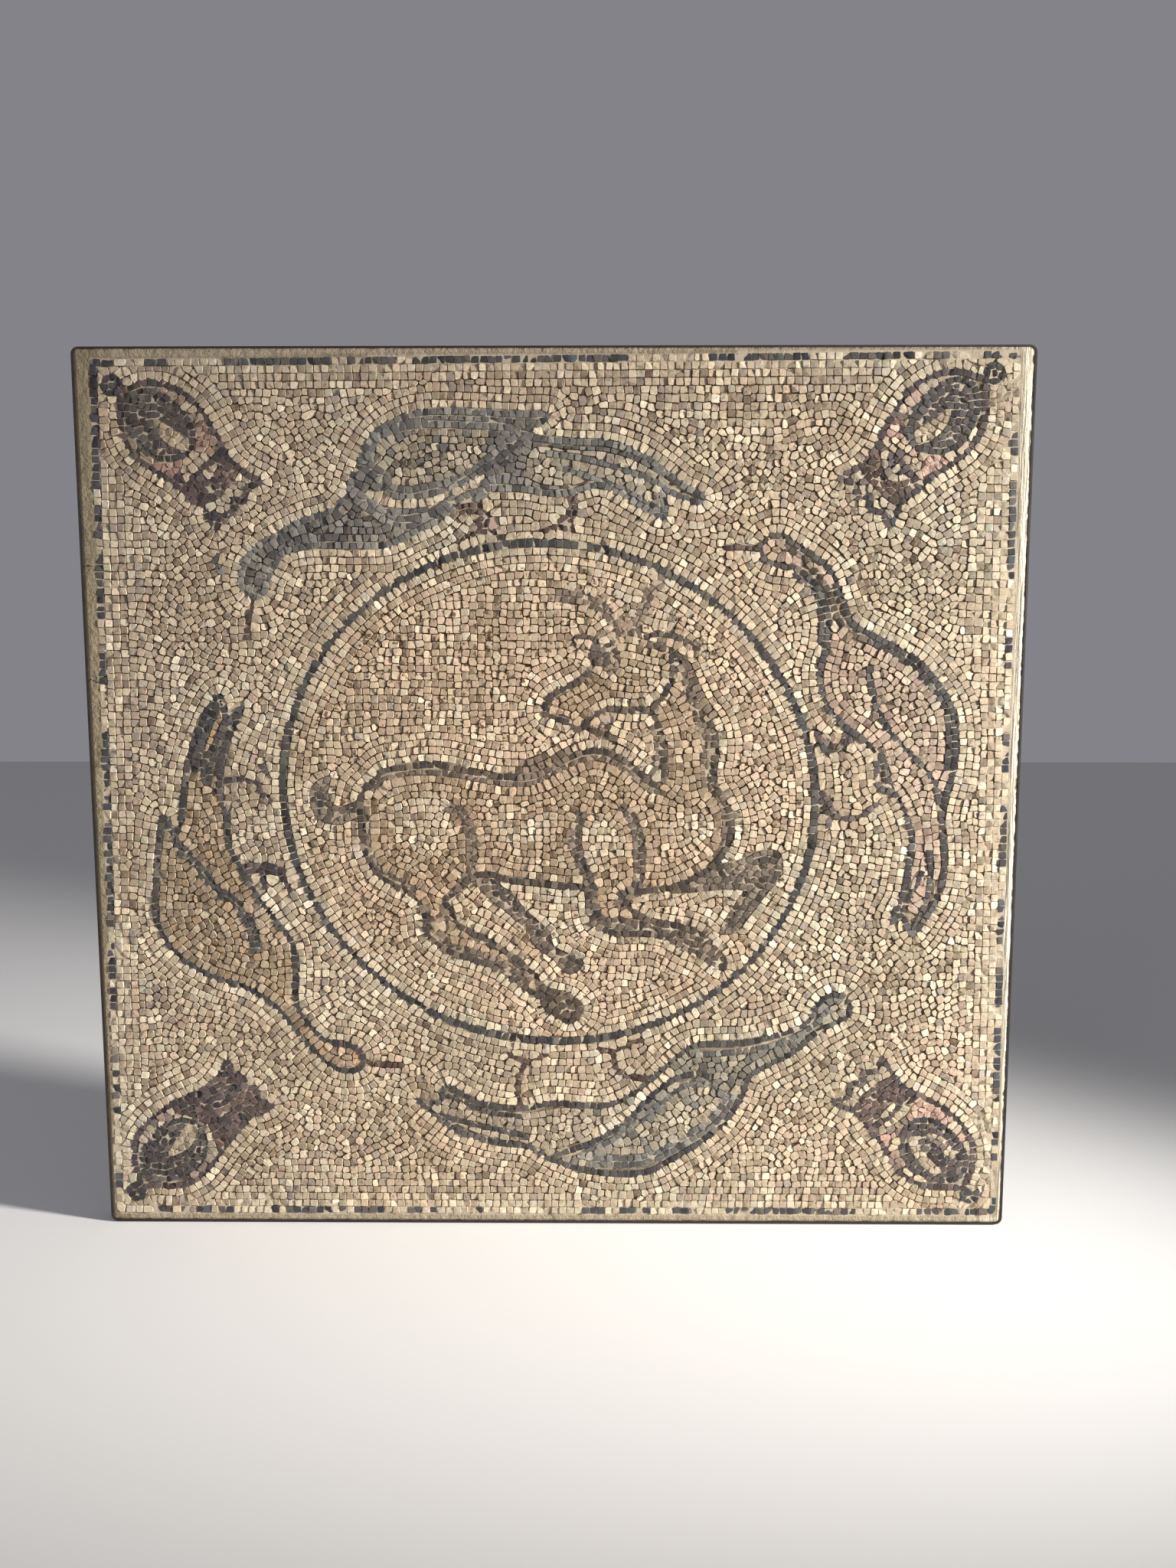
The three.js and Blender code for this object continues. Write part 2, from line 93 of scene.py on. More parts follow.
# Of each figure: "fill" is its colour, "core" that of its pale middle, which starts at edgeDepth from
# a line or lies in paleSpots (x, z, radius), "rows" are drawn lines, "solids" are filled dark parts
# and "areas" are filled pale ones
antelope = {
    "outline": [
        (-300, 16), (-284, 32), (-267, 48), (-243, 53), (-186, 59), (-123, 47), (-80, 40), (-37, 40),
        (-11, 49), (27, 71), (59, 81), (91, 76), (123, 57), (150, 32), (168, 28), (173, 52), (171, 79),
        (168, 105), (157, 132), (150, 143), (118, 143), (86, 146), (59, 132), (37, 111), (27, 123),
        (1, 132), (-14, 141), (-7, 162), (20, 179), (50, 196), (64, 220), (86, 243), (107, 253),
        (127, 250), (150, 244), (182, 236), (196, 210), (206, 187), (217, 164), (228, 145), (242, 126),
        (252, 100), (252, 74), (248, 49), (252, 26), (264, 8), (274, -12), (279, -32), (277, -53),
        (271, -73), (259, -91), (249, -101), (217, -121), (182, -136), (136, -142), (123, -147),
        (113, -158), (118, -169), (134, -179), (151, -189), (172, -194), (215, -202), (235, -212),
        (250, -230), (262, -242), (268, -268), (256, -262), (232, -244), (207, -233), (190, -223),
        (169, -213), (146, -209), (98, -209), (78, -202), (64, -195), (56, -177), (54, -154),
        (50, -136), (20, -134), (-31, -128), (-73, -123), (-97, -115), (-128, -118), (-150, -138),
        (-172, -157), (-164, -173), (-155, -194), (-134, -206), (-101, -222), (-64, -248), (-34, -274),
        (-22, -290), (-13, -302), (4, -306), (30, -315), (43, -334), (27, -353), (8, -346), (-8, -337),
        (-17, -323), (-29, -308), (-43, -302), (-59, -290), (-92, -267), (-125, -253), (-162, -241),
        (-190, -224), (-202, -211), (-205, -193), (-207, -175), (-214, -159), (-225, -147),
        (-254, -132), (-284, -111), (-293, -93), (-300, -75), (-302, -34), (-304, -2),
    ],
    "stone": "outlineBrown",
    "rows": [  # stone, width of a row, rows side by side, points
        ("midBrown", 9.5, 1, [(-288, 14), (-264, 36), (-220, 47), (-150, 43), (-80, 30), (-37, 30), (27, 60),
                              (59, 70), (88, 65), (118, 47), (150, 20), (176, 14)]),
        ("midBrown", 9.5, 1, [(-294, -20), (-292, -70), (-278, -98), (-248, -120), (-218, -138)]),
        ("midBrown", 10, 2, [(-166, -4), (-142, -20), (-131, -48), (-129, -80), (-133, -112), (-148, -134),
                             (-166, -152), (-172, -168), (-162, -190)]),
        ("midBrown", 10, 1, [(-196, -180), (-188, -200), (-164, -224), (-130, -238), (-98, -250),
                             (-62, -270), (-40, -292)]),
        ("legBrown", 9, 1, [(-150, -196), (-132, -214), (-98, -230), (-66, -254), (-44, -276), (-24, -292)]),
        ("legBrown", 10, 2, [(46, -14), (35, -42), (34, -70), (43, -98), (54, -122), (60, -150), (66, -180),
                             (82, -193), (112, -200)]),
        ("legBrown", 10, 2, [(104, -4), (121, -22), (131, -46), (134, -80), (135, -112), (130, -136),
                             (106, -152), (104, -174)]),
        ("legBrown", 10, 2, [(90, -190), (130, -198), (172, -206), (206, -216), (238, -226), (262, -252)]),
        ("midBrown", 9.5, 1, [(240, 118), (241, 80), (238, 52), (243, 24), (262, -4), (268, -34), (262, -66),
                              (242, -92)]),
        ("midBrown", 9, 1, [(150, 40), (160, 60), (160, 92), (150, 122)]),
        ("softBrown", 9, 1, [(196, 176), (214, 150), (226, 120), (234, 90), (232, 56), (236, 22)]),
        ("outlineBrown", 10, 1, [(182, 236), (185, 200), (172, 168), (150, 143)]),
        ("outlineBrown", 9, 1, [(37, 111), (48, 121), (65, 108), (99, 99)]),
        ("softBrown", 10, 2, [(3, 320), (30, 318), (62, 310), (85, 293), (98, 272), (107, 253)]),
        ("softBrown", 10, 2, [(170, 347), (155, 330), (142, 313), (136, 292), (127, 273), (126, 250)]),
        ("legBrown", 10, 3, [(72, 246), (72, 230), (72, 212)]),
        ("charcoal", 8, 1, [(76, 226), (88, 232)]),
        ("softBrown", 9, 1, [(94, 240), (100, 222), (96, 206), (84, 198)]),
        ("pale", 8, 1, [(80, 217), (90, 214)]),
        ("outlineBrown", 9, 1, [(33, 256), (48, 258), (60, 254), (70, 247)]),
        ("softBrown", 9, 1, [(27, 247), (40, 243), (52, 240)]),
        ("outlineBrown", 9, 1, [(141, 256), (160, 261), (185, 258), (205, 249), (226, 236)]),
        ("outlineBrown", 8, 1, [(189, 232), (207, 224)]),
        ("legBrown", 9, 1, [(54, 200), (36, 184), (14, 170), (-4, 158), (-10, 148)]),
        ("legBrown", 9, 1, [(8, 134), (26, 130)]),
        ("outlineBrown", 9, 1, [(48, 116), (66, 111), (88, 104)]),
        ("outlineBrown", 8, 1, [(72, 124), (90, 116)]),
        ("pale", 10, 1, [(52, 138), (72, 152), (100, 158), (130, 157), (156, 168), (170, 188), (173, 206)]),
    ],
    "solids": [
        ("outlineBrown", [(-24, -302), (2, -302), (30, -314), (42, -332), (28, -350), (6, -346),
                          (-16, -332)]),
        ("legBrown", [(232, -212), (252, -232), (268, -244), (270, -268), (254, -262), (228, -240)]),
        ("hide", [(140, 248), (158, 260), (185, 260), (205, 254), (228, 231), (208, 224), (190, 234),
                       (182, 236)]),
        ("legBrown", [(-350, 41), (-363, 38), (-375, 29), (-383, 16), (-383, 2), (-379, -14), (-370, -27),
                   (-354, -34), (-336, -36), (-318, -28), (-302, -20), (-302, 5), (-313, 1), (-327, -5),
                   (-340, -7), (-349, 0), (-354, 12), (-352, 24)]),
        ("legBrown", [(-108, -118), (-92, -124), (-76, -138), (-57, -157), (-38, -178), (-20, -194),
                   (-6, -211), (-1, -229), (20, -241), (46, -257), (27, -276), (6, -264), (-3, -250),
                   (-22, -239), (-36, -222), (-43, -206), (-55, -194), (-73, -178), (-97, -159),
                   (-118, -140), (-124, -120)]),
        ("legBrown", [(182, -134), (217, -121), (249, -101), (301, -88), (316, -79), (336, -74), (352, -78),
                   (359, -93), (358, -111), (349, -128), (336, -144), (308, -182), (290, -205),
                   (262, -211), (264, -196), (276, -177), (288, -156), (298, -140), (255, -140),
                   (182, -143)]),
    ],
    "repaint": [  # stones of another colour, whatever row they stand in
        ("hide", [(92, 264), (92, 240), (140, 232), (140, 262)]),
        ("midBrown", [(188, 234), (206, 234), (254, 130), (232, 118), (204, 180)]),
        ("midBrown", [(-60, 66), (-60, 34), (20, 54), (30, 84)]),
    ],
    "fill": "hide", "core": "hidePale", "edgeDepth": 30,
    "paleSpots": [(-205, -35, 50), (80, -60, 34), (225, -40, 26)],
    "nodes": {"outline": ["antelope_outline"], "fill": ["antelope_body", "antelope_head"]},
    "slots": {"outline": "dark_stone", "fill": "tan_stone"}, "row": 11, "pitch": 11.6,
}

ducks = {
    "topDuck": {
        "outline": [
            (-462, 318), (-478, 330), (-478, 354), (-462, 384), (-440, 402), (-406, 422), (-374, 436),
            (-340, 447), (-316, 468), (-306, 492), (-294, 522), (-272, 556), (-240, 580), (-198, 593),
            (-130, 594), (-51, 590), (-6, 588), (-42, 562), (25, 550), (84, 547), (131, 532),
            (172, 505), (200, 483), (229, 468), (222, 460), (196, 468), (168, 477), (170, 438),
            (122, 462), (72, 486), (31, 476), (-4, 473), (-42, 480), (-98, 480), (-121, 474),
            (-150, 458), (-172, 436), (-217, 413), (-251, 398), (-302, 395), (-352, 396), (-397, 391),
            (-416, 382), (-428, 363), (-439, 343), (-446, 322),
        ],
        "stone": "feather",
        "rows": [
            ("feather", 11, 2, [(-282, 540), (-258, 566), (-205, 580), (-130, 580), (-60, 576)]),
            ("feather", 11, 2, [(-294, 522), (-262, 500), (-248, 480), (-222, 473), (-190, 478),
                                (-150, 490), (-106, 514), (-42, 562)]),
            ("pale", 11, 1, [(-284, 476), (-246, 462), (-210, 460), (-170, 468), (-130, 484), (-96, 500)]),
            ("feather", 11, 2, [(-290, 452), (-236, 440), (-190, 444), (-150, 466)]),
            ("feather", 11, 2, [(-300, 470), (-240, 432), (-198, 434), (-170, 446), (-150, 461), (-110, 472),
                                (-92, 490), (-63, 493)]),
            ("feather", 10, 1, [(-10, 533), (60, 522), (120, 504), (190, 476)]),
            ("feather", 10, 1, [(5, 514), (72, 492), (122, 472), (165, 446)]),
            ("feather", 10, 1, [(-513, 388), (-519, 370), (-506, 352)]),
            ("redBrown", 9, 1, [(-462, 318), (-470, 290), (-472, 252)]),
            ("redBrown", 9, 2, [(-144, 448), (-122, 452), (-104, 446), (-106, 430), (-118, 414)]),
            ("redBrown", 9, 1, [(-118, 414), (-150, 400)]),
            ("redBrown", 9, 1, [(-118, 417), (-98, 416), (-74, 407)]),
            ("redBrown", 9, 2, [(16, 486), (30, 470), (31, 452), (22, 434), (8, 426)]),
            ("redBrown", 9, 1, [(8, 424), (-24, 413)]),
            ("redBrown", 9, 1, [(8, 424), (34, 418)]),
        ],
        "solids": [],
        "areas": [("featherPale", [(-30, 540), (25, 538), (84, 534), (128, 520), (168, 496), (204, 474),
                                   (228, 462), (168, 480), (172, 446), (122, 470), (72, 494), (30, 486),
                                   (-10, 486), (-40, 500)])],
        "fill": "feather", "core": "featherPale", "edgeDepth": 22,
        "paleSpots": [(-190, 530, 62), (-130, 548, 40), (-240, 520, 30)],
        "nodes": {"outline": ["top_duck_outline"], "fill": ["top_duck_body", "top_duck_wing"]},
        "slots": {"outline": "dark_stone", "fill": "grey_stone"}, "row": 11, "pitch": 11.8,
    },
    "rightDuck": {
        "outline": [
            (316, 390), (323, 404), (345, 410), (367, 399), (399, 379), (420, 362), (434, 336),
            (447, 304), (458, 280), (484, 263), (525, 242), (563, 219), (593, 186), (616, 148),
            (624, 101), (621, 48), (606, -20), (611, -67), (612, -110), (602, -158), (590, -178),
            (566, -210), (548, -180), (532, -190), (548, -151), (557, -100), (561, -58), (549, -17),
            (530, 15), (508, 25), (503, 50), (500, 72), (484, 96), (449, 122), (420, 157), (411, 198),
            (420, 242), (423, 280), (414, 313), (399, 339), (373, 360), (338, 367), (322, 376),
        ],
        "stone": "charcoal",
        "rows": [
            ("outlineBrown", 10, 1, [(352, 394), (380, 378), (404, 352), (424, 322), (436, 288), (450, 266),
                                     (500, 246)]),
            ("charcoal", 10, 1, [(366, 352), (392, 334), (405, 310), (413, 280), (411, 246)]),
            ("charcoal", 10, 1, [(484, 252), (522, 232), (556, 210), (584, 180), (606, 144), (613, 100),
                                 (611, 50)]),
            ("charcoal", 10, 1, [(494, 84), (514, 66), (520, 44), (522, 20)]),
            ("charcoal", 11, 1, [(487, 213), (489, 186), (505, 137), (537, 93), (563, 69), (592, 34),
                                 (606, -20)]),
            ("charcoal", 10, 1, [(588, -74), (592, -120), (582, -168), (563, -213)]),
            ("charcoal", 9, 1, [(580, -108), (573, -122), (565, -144), (549, -177)]),
            ("redBrown", 9, 1, [(258, 391), (285, 393), (316, 390)]),
            ("purple", 9.5, 2, [(456, 112), (455, 93), (443, 82), (425, 87), (408, 93)]),
            ("purple", 10, 1, [(405, 113), (414, 100), (422, 78)]),
            ("purple", 10, 1, [(508, 2), (496, -10), (484, -20), (467, -26), (453, -25), (438, -20)]),
            ("purple", 9.5, 2, [(434, -18), (425, -2), (413, 16)]),
            ("purple", 10, 1, [(431, -41), (429, -22)]),
            ("redBrown", 10, 2, [(506, 20), (530, 17)]),
        ],
        "solids": [],
        "fill": "rose", "core": "rose", "edgeDepth": 20, "paleSpots": [],
        "nodes": {"outline": ["right_duck_outline"], "fill": ["right_duck_body"]},
        "slots": {"outline": "dark_stone", "fill": "pink_stone"}, "row": 11, "pitch": 11.8,
    },
    "bottomDuck": {
        "outline": [
            (448, -306), (463, -314), (471, -329), (467, -343), (448, -354), (414, -375), (381, -403),
            (338, -427), (312, -444), (301, -473), (279, -513), (243, -547), (203, -574), (154, -602),
            (98, -607), (39, -599), (-10, -580), (-41, -562), (-102, -553), (-163, -532), (-206, -498),
            (-222, -483), (-190, -489), (-173, -461), (-151, -473), (-108, -492), (-53, -498),
            (-4, -489), (39, -492), (88, -491), (141, -461), (187, -418), (218, -395), (261, -390),
            (310, -387), (356, -375), (402, -354), (420, -323), (433, -311),
        ],
        "stone": "charcoal",
        "rows": [
            ("feather", 10, 1, [(225, -408), (310, -400), (360, -388), (410, -362), (440, -330)]),
            ("feather", 11, 2, [(286, -470), (262, -512), (226, -540), (186, -565), (140, -584),
                                (60, -586)]),
            ("feather", 11, 1, [(262, -462), (226, -455), (196, -466), (160, -496), (122, -532), (76, -558),
                                (10, -576)]),
            ("charcoal", 11, 1, [(258, -446), (227, -439), (187, -452), (148, -485), (111, -522), (57, -556),
                                 (-10, -580)]),
            ("pale", 10, 1, [(190, -436), (150, -470), (112, -506), (84, -528), (50, -542)]),
            ("charcoal", 10, 1, [(-188, -507), (-151, -519), (-120, -527), (-96, -532), (-40, -546)]),
            ("charcoal", 9, 1, [(-173, -476), (-157, -485), (-110, -502), (-53, -512)]),
            ("featherPale", 9, 1, [(462, -316), (472, -286), (484, -263)]),
            ("redBrown", 10, 1, [(154, -449), (111, -440), (95, -425), (95, -404)]),
            ("redBrown", 9, 1, [(97, -402), (112, -393), (146, -380)]),
            ("redBrown", 9, 1, [(94, -404), (66, -398)]),
            ("redBrown", 9, 1, [(-53, -498), (-60, -470), (-59, -449), (-52, -430), (-41, -421),
                                (-10, -406)]),
            ("redBrown", 9, 1, [(-41, -421), (-62, -412), (-82, -406)]),
        ],
        "solids": [],
        "areas": [("featherPale", [(-206, -490), (-151, -482), (-100, -498), (-53, -506), (0, -498),
                                   (40, -500), (64, -530), (20, -560), (-30, -566), (-100, -548),
                                   (-160, -524)])],
        "fill": "featherMid", "core": "featherPale", "edgeDepth": 20,
        "paleSpots": [(215, -495, 42), (165, -530, 34), (120, -565, 22), (20, -515, 50), (90, -505, 24),
                      (-40, -548, 20), (452, -336, 14)],
        "nodes": {"outline": ["bottom_duck_outline"], "fill": ["bottom_duck_body"]},
        "slots": {"outline": "dark_stone", "fill": "grey_stone"}, "row": 11, "pitch": 11.8,
    },
    "leftDuck": {
        "outline": [
            (-308, -420), (-315, -432), (-345, -434), (-370, -419), (-398, -387), (-427, -352),
            (-456, -320), (-494, -298), (-539, -283), (-584, -259), (-616, -224), (-632, -182),
            (-629, -131), (-624, -75), (-612, -22), (-600, -56), (-588, -38), (-582, 0), (-573, 55),
            (-558, 99), (-537, 144), (-519, 167), (-506, 128), (-484, 147), (-506, 102), (-520, 60),
            (-523, 10), (-513, -30), (-512, -69), (-494, -109), (-472, -147), (-440, -192),
            (-418, -224), (-412, -272), (-414, -320), (-395, -358), (-366, -386), (-325, -394),
            (-310, -405),
        ],
        "stone": "charcoal",
        "rows": [
            ("charcoal", 9.5, 2, [(-600, -56), (-568, -97), (-533, -139), (-500, -166), (-480, -200),
                                  (-474, -243)]),
            ("purple", 9, 1, [(-507, 99), (-514, 80), (-521, 57), (-523, 38), (-525, 17)]),
            ("redBrown", 9, 1, [(-528, 22), (-534, 10)]),
            ("softBrown", 10, 1, [(-509, 13), (-514, -20), (-516, -55)]),
            ("charcoal", 10, 1, [(-500, -85), (-486, -113), (-472, -136)]),
            ("softBrown", 9, 1, [(-480, -250), (-486, -266)]),
            ("redBrown", 9, 1, [(-308, -422), (-275, -425), (-242, -426)]),
            ("purple", 10, 1, [(-516, 34), (-484, 35), (-466, 28), (-455, 12), (-441, -1)]),
            ("purple", 10, 1, [(-456, 60), (-451, 42)]),
            ("purple", 9.5, 2, [(-494, -109), (-469, -103), (-445, -106), (-424, -116)]),
            ("purple", 10, 1, [(-466, -106), (-459, -122), (-457, -140)]),
            ("purple", 10, 1, [(-436, -108), (-424, -130), (-414, -146)]),
        ],
        "solids": [
            ("charcoal", [(-516, 169), (-530, 157), (-551, 134), (-561, 113), (-568, 92), (-572, 73),
                          (-577, 50), (-556, 48), (-549, 71), (-542, 90), (-534, 113), (-524, 136),
                          (-513, 158)]),
            ("charcoal", [(-479, 158), (-484, 140), (-496, 118), (-508, 97), (-521, 74), (-530, 55),
                          (-538, 27), (-549, 27), (-551, 59), (-543, 78), (-530, 97), (-520, 120),
                          (-503, 146), (-492, 156)]),
        ],
        "fill": "ochre", "core": "ochre", "edgeDepth": 20, "paleSpots": [],
        "nodes": {"outline": ["left_duck_outline"], "fill": ["left_duck_body"]},
        "slots": {"outline": "dark_stone", "fill": "tan_stone"}, "row": 11, "pitch": 11.8,
    },
}

# A bud in its own frame: u from the stem to the open end, v across
bud = {
    "length": 267, "stemRadius": 17, "row": 11,
    "outline": [(14, 0), (22, 14), (34, 36), (63, 61), (99, 70), (135, 68), (176, 56), (214, 44), (250, 46),
                (274, 52), (262, 30), (274, 12), (258, 0), (274, -14), (262, -32), (272, -54), (252, -50),
                (236, -41), (204, -45), (165, -47), (143, -52), (103, -57), (65, -46), (44, -28), (30, -12)],
    "leaf": [(34, 10), (42, 29), (68, 44), (102, 47), (129, 43), (146, 31), (158, 14), (156, -2),
             (130, -33), (107, -40), (78, -33), (48, -17)],
    "collar": [(196, 50), (196, 24), (190, 0), (192, -24), (196, -46)],
    "openEnd": [(198, 52), (300, 70), (300, -70), (198, -52), (190, 0)],
    # Broad areas of colour, each laid over those before it
    "areas": [
        ("blush", [(129, -48), (140, -34), (156, -8), (168, -26), (158, -52)]),
        ("blush", [(135, 50), (146, 60), (168, 48), (176, 24), (163, 14), (152, 34)]),
        ("blush", [(30, -14), (48, -22), (66, -48), (44, -32)]),
        ("wine", [(188, 52), (219, 57), (240, 34), (240, 4), (242, -8), (231, -36), (204, -54), (172, -52),
                  (200, -18), (212, 4), (198, 34)]),
    ],
    "leafAreas": [("honey", [(82, 7), (116, 17), (148, 22), (157, 8), (128, -7), (100, -4)])],
    "places": {
        "topLeft": {"stem": (-666, 634), "open": (-483, 459), "node": "top_left_bud"},
        "topRight": {"stem": (662, 649), "open": (476, 463), "node": "top_right_bud",
                     "areas": [
                         ("rosy", [(138, -48), (150, -20), (174, -24), (182, -44)]),
                         ("rosy", [(150, 60), (174, 58), (178, 42), (156, 42)]),
                         ("redBrown", [(190, 52), (236, 50), (246, 0), (236, -46), (184, -50), (192, -28),
                                       (222, -6), (214, 22)]),
                     ]},
        "bottomLeft": {"stem": (-682, -640), "open": (-496, -460), "node": "bottom_left_bud",
                       "mouth": "wine",
                       "areas": [("wine", [(150, 60), (250, 60), (250, -60), (150, -56), (170, 0)]),
                                 ("purple", [(196, 40), (240, 34), (236, 0), (200, 8)])]},
        "bottomRight": {"stem": (672, -640), "open": (491, -450), "node": "bottom_right_bud",
                        "areas": [
                            ("rosy", [(116, 30), (118, 58), (166, 56), (178, 30), (150, 18)]),
                            ("rosy", [(150, -46), (166, -26), (178, -44)]),
                            ("wine", [(186, 56), (236, 44), (246, 10), (240, -40), (196, -54), (178, -40),
                                      (196, -26), (206, 10), (184, 30)]),
                            ("mouthPale", [(176, 26), (202, 14), (200, -18), (180, -22)]),
                        ],
                        "leafAreas": [
                            ("mouthPale", [(56, 20), (90, 34), (120, 26), (124, 14), (90, 18), (60, 8)]),
                            ("mouthPale", [(60, -8), (96, -8), (140, 0), (140, -12), (96, -24), (66, -20)]),
                        ]},
    },
}


# Lines that only lead the rows of the ground
guides = [
    [(-652, 158), (-643, 231), (-599, 313), (-566, 352), (-517, 376)],
    [(-614, 178), (-604, 226), (-566, 275), (-517, 304), (-484, 323)],
    [(-454, 448), (-411, 477), (-358, 506), (-319, 545)],
    [(-420, 560), (-370, 590), (-310, 612)],
    [(-454, -459), (-363, -483), (-290, -522), (-242, -570), (-223, -618)],
    [(-416, -483), (-348, -531), (-300, -580), (-290, -628)],
    [(623, -309), (643, -357), (618, -401), (575, -411)],
    [(338, -449), (377, -483), (406, -531), (425, -580), (411, -623)],
    [(290, -580), (338, -570), (372, -594), (386, -638)],
    [(58, 627), (77, 579), (135, 560)],
    [(232, 531), (271, 487), (309, 448)],
    [(357, 593), (415, 608), (473, 579)],
    [(594, 458), (623, 400), (604, 352), (556, 323)],
    [(-640, -300), (-600, -350), (-540, -380), (-480, -420)],
]


# Laying out: a fine grid of the whole face says which group of stones each spot belongs to
layout = {  # lengths in millimetres
    "spot": 0.5,  # size of a spot of the grid
    "pitch": 11.9, "solidPitch": 10.8,  # room for one stone of the ground, and of a solid dark part
    "ringRow": 13, "borderRow": 11.5, "contourRow": 11.6,  # widths of single rows
    "groundRows": 3,  # rows that follow each drawn line
    "rowStoneWide": 1.15,  # a row's stones are longer than wide
    "joint": 0.7, "darkJoint": 1.1,  # gaps between stones
    "crowding": 0.7, "covered": 0.62,  # nearest seats, and what a row's stone covers, as shares of its room
    "leastStart": 0.42, "scatter": 4,  # least room for a free stone, and how far it is moved at first
    "sliver": 0.33, "double": 1.6,  # shares of a stone's room at which it goes or becomes two
    "hug": 0.8, "spread": 0.85, "squareness": 1.45,  # how a stone fills its room
    "reach": 12,  # farthest spot from a stone's middle
    "leastArea": 24, "leastHalf": 2,  # a smaller stone is left out
    "rounds": 18, "splitRounds": (5, 9, 13),  # of settling
    "medallionReach": 400, "slant": math.radians(38),  # the medallion's straight and slanting parts
}
halfWidth = (bandHigh[0] - bandLow[0]) / 2 / mm
halfHeight = (bandHigh[2] - bandLow[2]) / 2 / mm
spotsAcross = int(round(2 * halfWidth / layout["spot"]))
spotsUp = int(round(2 * halfHeight / layout["spot"]))
spots = np.zeros((spotsUp, spotsAcross), np.int16)  # 0 is bare mortar
groups = [None]  # what each number in spots stands for
laid = {"x": [], "z": [], "turn": [], "group": [], "fixed": [], "wide": [], "tall": [], "stone": []}
flow = []  # x, z and direction of every drawn line, for the rows of the ground


def newGroup(piece, stone, pitch, joint, **extra):
    groups.append({"piece": piece, "stone": stone, "pitch": pitch, "joint": joint, **extra})
    return len(groups) - 1


# One value of every group, for looking up by group number
def ofGroups(key):
    return np.array([0] + [group[key] for group in groups[1:]])


def spotOf(x, z):
    column = np.clip(((x + halfWidth) / layout["spot"]).astype(int), 0, spotsAcross - 1)
    line = np.clip(((z + halfHeight) / layout["spot"]).astype(int), 0, spotsUp - 1)
    return line, column


# A smooth curve through drawn points, in even steps
def smoothLine(points, closed=False, step=0.5):
    knots = np.array(points, float)
    if closed:
        knots = np.vstack([knots[-1], knots, knots[0], knots[1]])
    else:
        knots = np.vstack([2 * knots[0] - knots[1], knots, 2 * knots[-1] - knots[-2]])
    runs = []
    for a, b, c, d in zip(knots, knots[1:], knots[2:], knots[3:]):
        t1 = math.sqrt(max(np.hypot(*(b - a)), 1e-6))
        t2 = t1 + math.sqrt(max(np.hypot(*(c - b)), 1e-6))
        t3 = t2 + math.sqrt(max(np.hypot(*(d - c)), 1e-6))
        t = np.linspace(t1, t2, max(int(np.hypot(*(c - b)) / step), 2), endpoint=False)[:, None]
        ab = (t1 - t) / t1 * a + t / t1 * b
        bc = (t2 - t) / (t2 - t1) * b + (t - t1) / (t2 - t1) * c
        cd = (t3 - t) / (t3 - t2) * c + (t - t2) / (t3 - t2) * d
        abc = (t2 - t) / t2 * ab + t / t2 * bc
        bcd = (t3 - t) / (t3 - t1) * bc + (t - t1) / (t3 - t1) * cd
        runs.append((t2 - t) / (t2 - t1) * abc + (t - t1) / (t2 - t1) * bcd)
    line = np.vstack(runs + [knots[-2][None] if not closed else runs[0][:1]])
    reach = lengthsAlong(line)
    even = np.arange(0, reach[-1], step)
    return np.column_stack([np.interp(even, reach, line[:, 0]), np.interp(even, reach, line[:, 1])])


def directions(line, closed):
    if closed:
        ahead = np.roll(line, -3, axis=0) - np.roll(line, 3, axis=0)
    else:
        ahead = np.gradient(line, axis=0)
    return ahead / np.maximum(np.hypot(*ahead.T), 1e-9)[:, None]


def lengthsAlong(line):
    return np.concatenate([[0], np.cumsum(np.hypot(*np.diff(line, axis=0).T))])


# Notes the direction of a line for the rows beside it
def leadRows(line, along):
    for at in range(0, len(line), 16):
        flow.append((line[at, 0], line[at, 1], math.atan2(along[at, 1], along[at, 0])))


def seatStone(x, z, turn, group, wide, stone=""):
    seat = {"x": x, "z": z, "turn": turn, "group": group, "fixed": True, "wide": wide, "tall": 1.0,
            "stone": stone}
    for key, value in seat.items():
        laid[key].append(value)


# Gives every spot inside a closed line to a group
def fillShape(points, group, onlyOn=None):
    line = smoothLine(points, closed=True, step=2)
    column = (line[:, 0] + halfWidth) / layout["spot"] - 0.5
    height = (line[:, 1] + halfHeight) / layout["spot"] - 0.5
    crossings = np.zeros((spotsUp, spotsAcross + 1), np.int8)
    for i in range(len(line)):
        j = (i + 1) % len(line)
        low, high = sorted([height[i], height[j]])
        lines = np.arange(math.ceil(low), math.ceil(high))
        if len(lines):
            share = (lines - height[i]) / (height[j] - height[i])
            across = np.ceil(column[i] + share * (column[j] - column[i])).astype(int)
            crossings[lines, np.clip(across, 0, spotsAcross)] ^= 1
    inside = np.bitwise_xor.accumulate(crossings, axis=1)[:, :-1].astype(bool)
    if onlyOn is not None:
        inside &= np.isin(spots, onlyOn)
    spots[inside] = group


